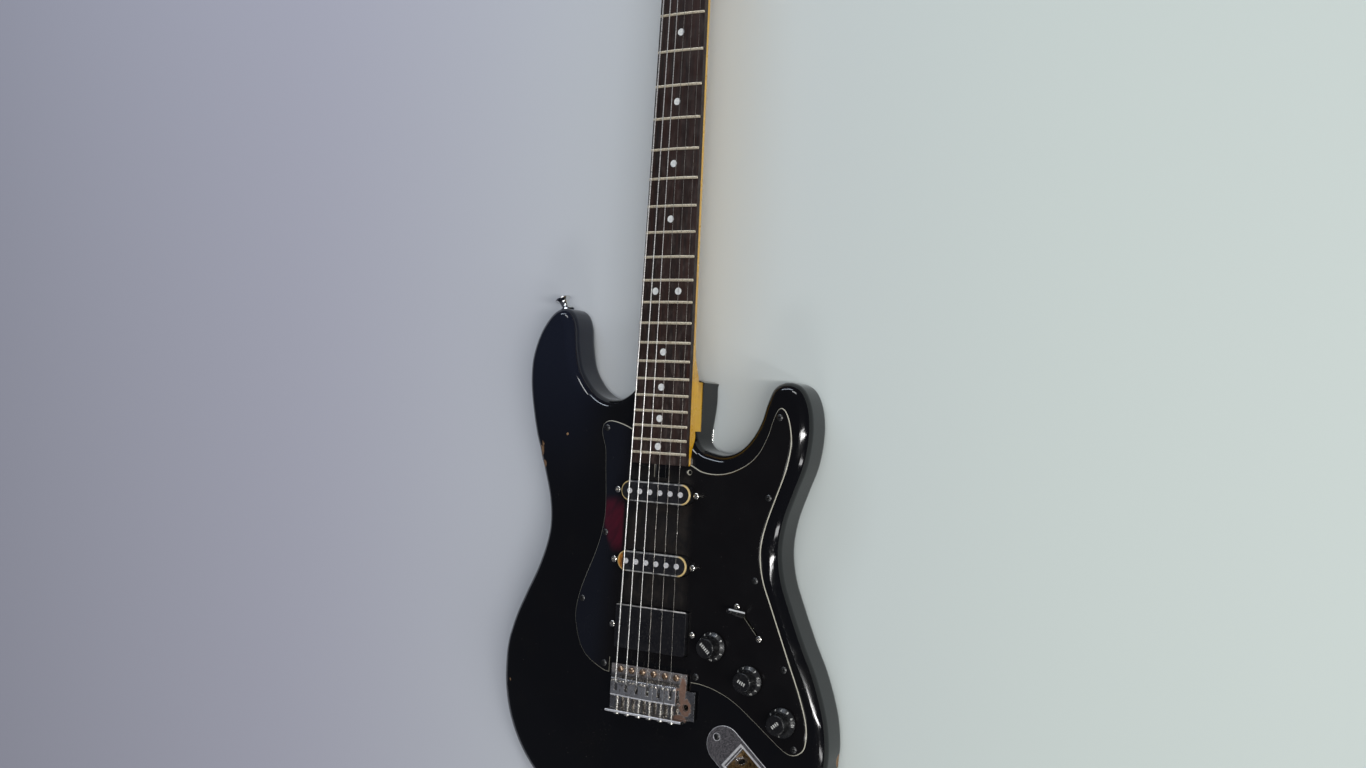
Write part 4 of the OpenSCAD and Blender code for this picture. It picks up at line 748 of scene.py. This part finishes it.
# Near-white edges on the plates and saddles: a painted highlight
EDGE_HIGHLIGHT = metal("edge_highlight", (0.9, 0.9, 0.93), (0.45, 0.42, 0.4), 0.28, 0.25, 500, metallic=0.35)
POLE = plain("pole_steel", (0.74, 0.74, 0.76), (0.46, 0.45, 0.45), 0.5, 900)
KNOB = worn_plastic("knob_plastic", (0.008, 0.008, 0.009), (0.04, 0.038, 0.036), 0.26, 800)
PAINT = plain("dial_paint", (0.72, 0.72, 0.68), (0.25, 0.25, 0.24), 0.5, 1500)
TIP = tip_plastic()
COPPER = plain("copper_windings", (0.3, 0.12, 0.05), (0.18, 0.06, 0.03), 0.4, 1500, metallic=0.5)
RUBBER = plain("sleeve_rubber", (0.03, 0.03, 0.03), (0.05, 0.05, 0.05), 0.75)
CAPACITOR = plain("capacitor_plastic", (0.5, 0.18, 0.04), (0.36, 0.11, 0.02), 0.3)
LEAD = plain("wire_plastic", (0.7, 0.66, 0.55), (0.5, 0.46, 0.36), 0.5)
BRASS = metal("brass", (0.72, 0.52, 0.24), (0.3, 0.2, 0.09), 0.3, 0.4)
WOUND = metal("wound_string", (0.8, 0.79, 0.76), (0.42, 0.38, 0.33), 0.3, 0.35, 600, metallic=0.7)
PLAIN_STRING = metal("plain_string", (0.42, 0.4, 0.37), (0.14, 0.11, 0.08), 0.35, 0.55, 600)


# ---------- Outlines ----------

BODY_OUTLINE = [
    (0, -149), (52, -146), (100, -134), (138, -109), (159, -80), (165.5, -50), (163, -18), (152, 16),
    (139.6, 41.5), (127.5, 69), (118, 93.5), (114.3, 118), (117.4, 142.4), (125.5, 166.8), (134, 191.3),
    (137.2, 218), (134.3, 240), (126, 254.5), (113, 259), (101, 254), (94.5, 240), (90, 225), (82, 210.5),
    (71, 199.5), (58, 194.5), (45, 195.5), (35, BOARD_END + 15.5), (29.6, BOARD_END + 22),
    (POCKET_HALF, BOARD_END + 32), (POCKET_HALF, HEEL_TOP - 8), (POCKET_HALF - 4, HEEL_TOP - 0.5),
    (4 - POCKET_HALF, HEEL_TOP - 0.5), (-29.5, HEEL_TOP - 7), (-37, HEEL_TOP - 14), (-50, 238.5),
    (-64, 237.5), (-77, 242.5), (-88, 252.5), (-97, 267), (-101.5, 287), (-103.5, 304), (-109, 316),
    (-119, 320), (-131, 314), (-143, 297), (-150.5, 274), (-151.2, 250), (-146.5, 222), (-138, 190.5),
    (-129, 166), (-122.3, 143), (-120.3, 121), (-123.4, 102), (-131.5, 79), (-142.6, 56), (-153.9, 30),
    (-162, 0), (-165.5, -34), (-160.5, -66), (-146, -95), (-122, -119), (-88, -137), (-45, -146.5)]

GUARD_OUTLINE = [
    (40, -1.6), (55.7, -2.7), (70, -6.6), (84.2, -13), (101.5, -24.7), (115.8, -35), (128.6, -43.8),
    (136.5, -46.6), (143.5, -44.9), (148.9, -39), (150.2, -27.6), (148.5, -15.5), (141.6, 4.6),
    (131.4, 28), (121.3, 51.6), (111.2, 75), (103.9, 92.7), (100.4, 110.3), (100.9, 125),
    (105.1, 142.5), (112.1, 163), (119.1, 183.5), (122.7, 201.2), (123, 213), (120.4, 226),
    (116.5, 234.5), (112, 237.3), (107.8, 234), (104.1, 224.7), (100.5, 213), (93.3, 198.8),
    (83.4, 188.8), (69.1, 181.2), (54.8, 178.2), (40.5, 179.4), (29, 184.5), (0, 195), (-26, 209),
    (-34, 213.5), (-45.5, 217.4), (-55.4, 218.8), (-61.4, 216.5), (-64, 211), (-63.2, 204),
    (-59.6, 192.5), (-58.1, 172), (-56.6, 151.4), (-56.5, 133.7), (-59.3, 116), (-64.9, 98.5),
    (-72.1, 81), (-77.6, 66.3), (-81.4, 50), (-81.3, 37), (-76, 19), (-67.4, 7.4), (-53, -1),
    (-39.6, -4), (0, -4)]

CONTROL_OUTLINE = [(40, 14), (56, 12), (78, -2), (112, -32), (132, -34), (141.5, -30), (142.5, -12),
                   (134, 4), (121, 16), (119, 34), (104, 76), (66, 82), (40, 70)]


def neck_half(y):
    """Half the neck's width at a station."""
    return HEEL_HALF + (NUT_HALF - HEEL_HALF) * (y - BOARD_END) / (SCALE - BOARD_END)


def neck_plan(y0, y1, extra):
    """The neck's outline between two stations, widened by extra on each side."""
    a, b = neck_half(y0) + extra, neck_half(y1) + extra
    return [(-a, y0), (a, y0), (b, y1), (-b, y1)]


# ---------- Body ----------

def body_form():
    """The slab with its rounded rim, the sloped forearm side and its knocks."""
    loop = thinned(smooth_loop(BODY_OUTLINE, 6), OUTLINE_GAP)
    inner = [inward(loop, i) for i in range(len(loop))]
    rounds = []
    for x, y in loop:
        away = max(0.0, min(1.0, (math.hypot(x, y - HEEL_TOP + 10) - HEEL_REACH) / HEEL_FADE))
        rounds.append(HEEL_ROUND + (EDGE_ROUND - HEEL_ROUND) * away)

    def ring(degrees, upper):
        a = math.radians(degrees)
        level = []
        for (x, y), d, r in zip(loop, inner, rounds):
            inset, drop = r * (1 - math.cos(a)), r * (1 - math.sin(a))
            level.append((x + d.x * inset, y + d.y * inset, Z_TOP - drop if upper else Z_BACK + drop))
        return level

    turns = (90, 78, 66, 54, 42, 30, 18, 8, 0)
    bm = lofted([ring(t, False) for t in turns] + [ring(t, True) for t in reversed(turns)])

    # The forearm slope rolls off a slanting line across the bass side
    a, b = Vector(CONTOUR_FROM), Vector(CONTOUR_TO)
    along = (b - a).normalized()
    out = Vector((along.y, -along.x))
    if out.x > 0:
        out = -out
    for reach in (0, 4, 8, 12, 16, 20, 40, 60):
        spot = a + out * reach
        bmesh.ops.bisect_plane(bm, geom=bm.verts[:] + bm.edges[:] + bm.faces[:], dist=1e-4,
                               plane_co=(spot.x, spot.y, 0), plane_no=(out.x, out.y, 0))
    for v in bm.verts:
        s = (Vector(v.co.xy) - a).dot(out)
        if s > 0 and v.co.z > CONTOUR_FLOOR:
            drop = CONTOUR_SLOPE * (s * s / (2 * CONTOUR_ROLL) if s < CONTOUR_ROLL else s - CONTOUR_ROLL / 2)
            v.co.z -= drop * (v.co.z - CONTOUR_FLOOR) / (Z_TOP - CONTOUR_FLOOR)

    # Each knock presses the wood in towards the body's middle
    middle = Vector((0, 60, 22))
    for place, reach, depth in KNOCKS:
        place = Vector(place)
        push = middle - place
        push.y *= 0.3
        push.normalize()
        for v in bm.verts:
            near = (v.co - place).length / reach
            if near < 1:
                v.co += push * depth * (1 - near * near) ** 2
    return bm


def jack_spot(s, w, z):
    """A point of the jack plate's own frame, in the shared frame."""
    c, d = math.cos(math.radians(JACK_TURN)), math.sin(math.radians(JACK_TURN))
    return (JACK_PLACE[0] + s * c - w * d, JACK_PLACE[1] + s * d + w * c, Z_TOP + z)


def jack_prism(s0, w0, s1, w1, z0, z1):
    """A block that is square to the jack plate."""
    flat = [jack_spot(s, w, 0)[:2] for s, w in ((s0, w0), (s1, w0), (s1, w1), (s0, w1))]
    return prism(flat, Z_TOP + z0, Z_TOP + z1)


# The cutters end at different heights, so that no two share a face
body = piece("body_shell", body_form(), [LACQUER], stands_for=("body",), angle=30)
carve(body, [
    prism(neck_plan(BOARD_END - 0.15, HEEL_TOP + 60, 0.15), Z_POCKET, Z_TOP + 20),
    prism(rectangle(0, BOARD_END + 30, POCKET_HALF + 6, BOARD_END + 105), Z_POCKET + 0.01, Z_TOP + 21),
    prism(rectangle(-45.5, BLOCK_Y - 22, 45.5, COIL_YS[0] + 11), Z_ROUT, Z_TOP + 22),
    prism(CONTROL_OUTLINE, Z_CONTROL, Z_TOP + 23),
    prism(rectangle(-39, -27, 39, -2.6), -5, Z_TOP + 24),
    prism(rectangle(30, -31.5, 44.5, -14), Z_TOP - 21, Z_TOP + 25),
    prism(rectangle(-36, -27.1, 36, 108), -6, Z_CAVITY),
    jack_prism(-22, -13, 30.8, 13, -30, 3)])
shade(body, 30)


# ---------- Pickguard and back plates ----------

def guard_form():
    """A flat sheet whose edge is cut at a slope."""
    loop = smooth_loop(GUARD_OUTLINE, 5)
    inner = [inward(loop, i) for i in range(len(loop))]
    return lofted([[(x, y, Z_TOP) for x, y in loop], [(x, y, Z_GUARD - GUARD_SLOPE) for x, y in loop],
                   [(x + d.x * GUARD_SLOPE, y + d.y * GUARD_SLOPE, Z_GUARD)
                    for (x, y), d in zip(loop, inner)]])


guard = piece("pickguard_sheet", guard_form(), [GUARD], stands_for=("pickguard",))
slot_half_length, slot_half_width = SLOT_HALF
slot_cut = turned(rectangle(-slot_half_length, -slot_half_width, slot_half_length, slot_half_width),
                  SWITCH_PLACE, SWITCH_TURN)
block_half_width, block_half_length = BLOCK_OPENING_HALF
countersink = lathe([(0, -4), (1.45, -4), (1.45, -1.65), (3.6, 0.5), (0, 0.5)], 32)
bmesh.ops.translate(countersink, vec=(*EMPTY_SCREW, Z_GUARD), verts=countersink.verts)
carve(guard, [
    prism(neck_plan(BOARD_END - 0.3, HEEL_TOP + 60, 0.5), 40, 60),
    prism(rectangle(-7, BOARD_END - 12, 7, BOARD_END + 2), 39, 61),
    prism(rectangle(-42.5, -30, 40.5, 10), 38, 62),
    prism(rectangle(-block_half_width, BLOCK_Y - block_half_length,
                    block_half_width, BLOCK_Y + block_half_length), 37, 63),
    prism(slot_cut, 36, 64),
    countersink] + [prism(stadium(0, y, *COIL_OPENING), 35, 65) for y in COIL_YS]
    + [prism(stadium(x, y, SHAFT_OPENING, SHAFT_OPENING - 1e-3), 34, 66)
       for x, y in KNOB_PLACES.values()])
shade(guard, 25)

refined("back_cover", [BACK_SHEET], 0.4)
refined("neck_plate", [CHROME], 0.35)
refined("small_wood_screws", [SCREW], 0.12)
refined("large_wood_screws", [SCREW], 0.15)
refined("strap_buttons", [CHROME], 0.3)


# ---------- Neck ----------

refined("neck", [MAPLE], 0.5, angle=45)
refined("fingerboard", [ROSEWOOD], 0.2)
refined("frets", [FRET], 0.25, angle=60)
refined("position_dots", [PEARL], 0.0)
refined("nut", [BONE], 0.25)
refined("truss_rod", [STEEL], 0.15)
refined("string_trees", [CHROME], 0.2)
refined("tuner_housings", [CHROME], 0.7)
refined("tuner_bushings", [CHROME], 0.2)
for n in range(1, 7):
    refined(f"tuner_key_{n}", [CHROME], 0.9, segments=3)
    refined(f"tuner_post_{n}", [CHROME], 0.25)


# ---------- Pickups ----------

def on_top(z):
    """Picks edges that lie in a level plane, in millimetres."""
    return lambda e: all(abs(v.co.z - z * MM) < LEVEL_GAP for v in e.verts)


def long_edge(y0, y1, z):
    """Picks edges that run across the guitar between two stations, above a height, in millimetres."""
    return lambda e: (all(y0 * MM < v.co.y < y1 * MM and v.co.z > z * MM for v in e.verts)
                      and abs(e.verts[0].co.x - e.verts[1].co.x) > 4 * MM)


def cover_top_edge(e):
    """Picks the outer edge of a single-coil cover's top, but not its pole holes."""
    def outside(v):
        past_straight = max(0.0, abs(v.co.x) - COIL_STRAIGHT_HALF * MM)
        return math.hypot(past_straight, min(abs(v.co.y - y * MM) for y in COIL_YS)) > COIL_RIM * MM

    return all(abs(v.co.z - COIL_TOP * MM) < LEVEL_GAP and outside(v) for v in e.verts)


refined("single_coil_covers", [COVER, COVER_RIM], 0, 1.3, cover_top_edge)
refined("single_coil_windings", [COPPER], 0.2)
refined("pole_magnets", [POLE], 0.35)
refined("bridge_pickup_cover", [BLOCK], 0.2)
refined("bridge_pickup_coils", [COPPER], 0.2)
refined("machine_screws", [BRIGHT], 0.15)
refined("height_sleeves", [RUBBER], 0.0)


# ---------- Controls ----------

refined("selector_switch", [STEEL], 0.2)
refined("switch_lever", [STEEL], 0.15)
refined("switch_tip", [TIP], 0.4)
refined("control_pots", [STEEL], 0.3)
refined("tone_capacitor", [CAPACITOR], 0.5)
refined("hookup_wires", [LEAD], 0.0, angle=60)
refined("jack_socket", [RUSTED], 0.15)
refined("jack_plate", [PLATE, EDGE_HIGHLIGHT], 0.2, 0.35, on_top(46.2))


def knob_form():
    """A flared skirt, a ribless grip and a shallow dish in the top, bored for its shaft."""
    bore = [(0, 6), (2.98, 6), (2.98, 0.2)]
    skirt = [(5.5, 0), (11.6, 0), (12.35, 0.25), (12.6, 0.7), SKIRT_LOW, SKIRT_HIGH, (9.35, 3.7)]
    grip = [(9.1, 4.3), (8.85, 7), (8.35, 12.2), (8.05, 12.9), (7.5, 13.2), (7.0, 13.25)]
    dish = [(6.7, 13.05), (0, 12.95)]
    return lathe(bore + skirt + grip + dish, 72)


def lettering(text, size):
    """Raised letters as a bmesh that stands on z = 0, centred, in millimetres."""
    curve = bpy.data.curves.new("letters", "FONT")
    curve.body = text
    curve.size = size
    curve.extrude = 0.03
    curve.offset = 0.02 * size
    curve.align_x = "CENTER"
    curve.align_y = "CENTER"
    curve.resolution_u = 3
    holder = bpy.data.objects.new("letters", curve)
    bpy.context.scene.collection.objects.link(holder)
    bpy.context.view_layer.update()
    mesh = bpy.data.meshes.new_from_object(holder.evaluated_get(bpy.context.evaluated_depsgraph_get()))
    bm = bmesh.new()
    bm.from_mesh(mesh)
    bmesh.ops.remove_doubles(bm, verts=bm.verts, dist=1e-4)
    bpy.data.objects.remove(holder)
    bpy.data.curves.remove(curve)
    bpy.data.meshes.remove(mesh)
    return bm


def put(target, source, matrix):
    """Adds one bmesh to another, through a matrix."""
    bmesh.ops.transform(source, matrix=matrix, verts=source.verts)
    mesh = bpy.data.meshes.new("part")
    source.to_mesh(mesh)
    source.free()
    target.from_mesh(mesh)
    bpy.data.meshes.remove(mesh)


def dial_marks(strokes, heading):
    """Numbers round the skirt and a row of plain strokes on the cap, before the knob is put in place."""
    bm = bmesh.new()
    across = Matrix.Rotation(math.radians(heading), 4, "Z")
    half_width, half_length = STROKE_HALF
    for i in range(strokes):
        x = (i - (strokes - 1) / 2) * STROKE_PITCH
        stroke = rectangle(x - half_width, -half_length, x + half_width, half_length)
        put(bm, prism(stroke, 12.96, 13.12), across)
    lean = math.atan2(SKIRT_HIGH[1] - SKIRT_LOW[1], SKIRT_LOW[0] - SKIRT_HIGH[0])
    for n in range(1, 11):
        turn = Matrix.Rotation(math.radians(heading + 180 - 30 * (n - 5.5)), 4, "Z")
        stand = turn @ Matrix.Translation((0, -NUMBER_REACH, NUMBER_LEVEL)) @ Matrix.Rotation(lean, 4, "X")
        put(bm, lettering(str(n), NUMBER_SIZE), stand)
    return bm


for name, heading, strokes in (("volume", -42, 6), ("neck_tone", -24, 4), ("middle_tone", 42, 4)):
    body_name = name + "_control"
    move = Matrix.Translation((*KNOB_PLACES[name], KNOB_BASE))
    grip, marks = knob_form(), dial_marks(strokes, heading)
    bmesh.ops.transform(grip, matrix=move, verts=grip.verts)
    bmesh.ops.transform(marks, matrix=move, verts=marks.verts)
    piece(name + "_grip", grip, [KNOB], body_name, (name + "_knob",), 50)
    piece(name + "_marks", marks, [PAINT], body_name)
    refined(name + "_shaft", [BRASS], 0.25)


# ---------- Tremolo ----------

# The front edges of the plate and of the saddles take the painted highlight
refined("bridge_plate", [RUSTED, EDGE_HIGHLIGHT], 0.35, 0.85, long_edge(-35.01, -32.99, 57.7),
        edge_finish=1)
refined("tremolo_block", [STEEL], 0.5)
refined("saddles", [SADDLE, EDGE_HIGHLIGHT], 0.3, 1.4, long_edge(-20.51, -20.49, 56.5),
        edge_finish=1)
refined("pivot_screws", [BRASSY], 0.12)
refined("bridge_screws", [BRIGHT], 0.12)
refined("spring_claw", [STEEL], 0.25)
refined("claw_screws", [SCREW], 0.15)


def bridge_x(i):
    """A string's place across the bridge."""
    return (i - 2.5) * BRIDGE_PITCH


def nut_x(i):
    """A string's place across the nut."""
    return (i - 2.5) * NUT_PITCH


saddle_coils = [(coil((bridge_x(i), -20.8, 53.9), (0, -1, 0), 1.78, 11.9, 9), 0.3) for i in range(6)]
piece("intonation_coils", wire(saddle_coils), [STEEL], "tremolo", ("intonation_springs",), 60)


def tremolo_spring(x):
    """A hook in the block, a close coil and a hook on the claw."""
    z = SPRING_Z
    hook = [(x + 5.5, -8.6, z + 9), (x + 5.5, -8.6, z + 0.6), (x + 4.9, -8.6, z + 0.1), (x + 0.6, -8.6, z),
            (x, -8.1, z), (x, -1, z)]
    turns = [tuple(p) for p in coil((x, 0.5, z), (0, 1, 0), 3.5, 80, 52, 12)]
    return hook + turns + [(x, 81.5, z), (x, 88.6, z)]


springs = piece("tremolo_coils", wire([(tremolo_spring(x), 0.45) for x in SPRING_XS]), [STEEL], None,
                (), 60)
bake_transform(springs)
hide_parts("tremolo_springs")


# ---------- Strings ----------

def sag(x):
    """How far the board's curve falls at a distance from its middle."""
    return x * x / (2 * BOARD_RADIUS)


def string_x(i, y):
    """Where a string, or its line carried on past the nut, crosses a station."""
    return nut_x(i) + (nut_x(i) - bridge_x(i)) * (y - SCALE) / SCALE


def string_path(i):
    """From the block over the saddle and the nut, under its tree, and wound down its post."""
    x, r = bridge_x(i), STRING_R[i]
    saddle = Z_STRING_BRIDGE - sag(x) - r - 0.1
    nut = Z_STRING_NUT - sag(nut_x(i))
    post_y = SCALE + FIRST_TUNER + i * TUNER_PITCH * math.cos(math.radians(TUNER_LEAN))
    around = POST_R + r
    post_x = string_x(i, post_y) - around
    wound = Z_HEAD + 4.5
    if i < 2:
        kink_y, kink_z = SCALE + 5, nut - 0.5
    else:
        kink_y, kink_z = TREE_YS[0 if i < 4 else 1], Z_HEAD + 5.3 - r
    path = [(x, -12, 29), (x, -12, saddle - 6.5), (x, -9.6, saddle - 1.6), (x, -9.0, saddle - 1),
            (x, -7.6, saddle + r + 0.02), (x, -6.4, saddle + r + 0.12), (x, -4.8, saddle + r + 0.12)]
    low, high = Vector(path[-1]), Vector((nut_x(i), SCALE - 0.5, nut))
    path += [tuple(low.lerp(high, k / 60)) for k in (0.3, 0.6, 0.9)]
    path += [tuple(low.lerp(high, k / 12)) for k in range(1, 13)]
    path += [(nut_x(i), SCALE + 2, nut), (string_x(i, kink_y), kink_y, kink_z),
             (string_x(i, post_y - 3), post_y - 3, wound + 0.2)]

    # Three turns down the post, 20 points a turn
    for k in range(0, 61):
        a = math.radians(k * 18)
        path.append((post_x + around * math.cos(a), post_y + around * math.sin(a),
                     wound - (2.1 * r + 0.05) * k / 20))
    return path


strings = piece("strings_wound", wire([(string_path(i), STRING_R[i]) for i in range(6)], [0, 0, 0, 1, 1, 1]),
                [WOUND, PLAIN_STRING], None, (), 60)
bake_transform(strings)
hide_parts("strings")
balls = bmesh.new()
for i in range(6):
    ball = lathe([(0, -2), (1.6, -2), (2, -1.4), (1.5, -0.5), (1.5, 0.5), (2, 1.4), (1.6, 2), (0, 2)], 20)
    put(balls, ball, Matrix.Translation((bridge_x(i), *BALL_PLACE)))
piece("ball_ends", balls, [BRASS], "tremolo")


# ---------- Floor, lights and camera ----------

def floor_finish():
    """Pale, from a cool violet on the bass side to a faint green on the treble side."""
    f = Finish("pale_floor", (0.6, 0.62, 0.64), 0.7, specular=0.3)
    tint = f.span(f.axis("X"), -0.55, 0.4)
    f.link(f.mix(tint, (0.56, 0.56, 0.65), (0.67, 0.74, 0.7)), "Base Color")
    return f.material


bm = bmesh.new()
bmesh.ops.create_grid(bm, x_segments=1, y_segments=1, size=3.4)
floor_mesh = bpy.data.meshes.new("floor")
bm.to_mesh(floor_mesh)
bm.free()
floor = bpy.data.objects.new("floor", floor_mesh)
floor_mesh.materials.append(floor_finish())
bpy.context.scene.collection.objects.link(floor)


def softbox(name, place, target, width, height, power, colour=(1, 1, 1)):
    """A rectangular lamp that faces its target."""
    light = bpy.data.lights.new(name, "AREA")
    light.shape = "RECTANGLE"
    light.size, light.size_y = width, height
    light.energy = power
    light.color = colour
    lamp = bpy.data.objects.new(name, light)
    bpy.context.scene.collection.objects.link(lamp)
    lamp.location = place
    lamp.rotation_euler = (Vector(target) - Vector(place)).to_track_quat("-Z", "Y").to_euler()


softbox("key_softbox", (1.55, 0.1, 2.1), (0.1, 0.1, 0), 0.14, 1.6, 25, (1, 0.99, 0.97))
softbox("side_softbox", (2.2, -0.6, 1.3), (0.1, 0.0, 0), 0.2, 1.2, 8)
softbox("head_softbox", (0.5, 2.3, 1.9), (0, 0.3, 0), 1.0, 0.3, 12, (0.97, 0.99, 1))
softbox("rim_strip", (1.15, 0.2, 2.3), (0.1, 0.1, 0), 0.04, 1.8, 5.5)
softbox("second_strip", (1.95, 0.1, 1.75), (0.1, 0.1, 0), 0.04, 1.8, 5.5)
softbox("horn_strip", (-0.55, 1.9, 1.05), (0.06, 0.2, 0), 1.3, 0.16, 9, (0.78, 0.87, 1))
softbox("low_softbox", (0.6, -2.2, 1.4), (0, 0, 0), 1.0, 0.3, 9)

# The camera sees a pale surround, and the object reflects a dim one
world = bpy.data.worlds.new("studio")
bpy.context.scene.world = world
world.use_nodes = True
sky = world.node_tree
shine = sky.nodes["Background"]
shine.inputs["Color"].default_value = (0.055, 0.06, 0.075, 1)
pale = sky.nodes.new("ShaderNodeBackground")
pale.inputs["Color"].default_value = (0.62, 0.65, 0.66, 1)
seen = sky.nodes.new("ShaderNodeLightPath")
choose = sky.nodes.new("ShaderNodeMixShader")
sky.links.new(seen.outputs["Is Camera Ray"], choose.inputs[0])
sky.links.new(shine.outputs[0], choose.inputs[1])
sky.links.new(pale.outputs[0], choose.inputs[2])
sky.links.new(choose.outputs[0], sky.nodes["World Output"].inputs["Surface"])

lens = bpy.data.cameras.new("camera")
lens.sensor_width = 36
lens.lens = 34.449
camera = bpy.data.objects.new("camera", lens)
bpy.context.scene.collection.objects.link(camera)
right = Vector((0.868915, 0.055208, -0.491873))
up = Vector((-0.035455, 0.998150, 0.049401))
turn = Matrix((right, up, right.cross(up))).transposed()
camera.matrix_world = Matrix.Translation((0.576843, 0.224781, 1.032508)) @ turn.to_4x4()
bpy.context.scene.camera = camera
bpy.context.scene.view_settings.view_transform = "Standard"
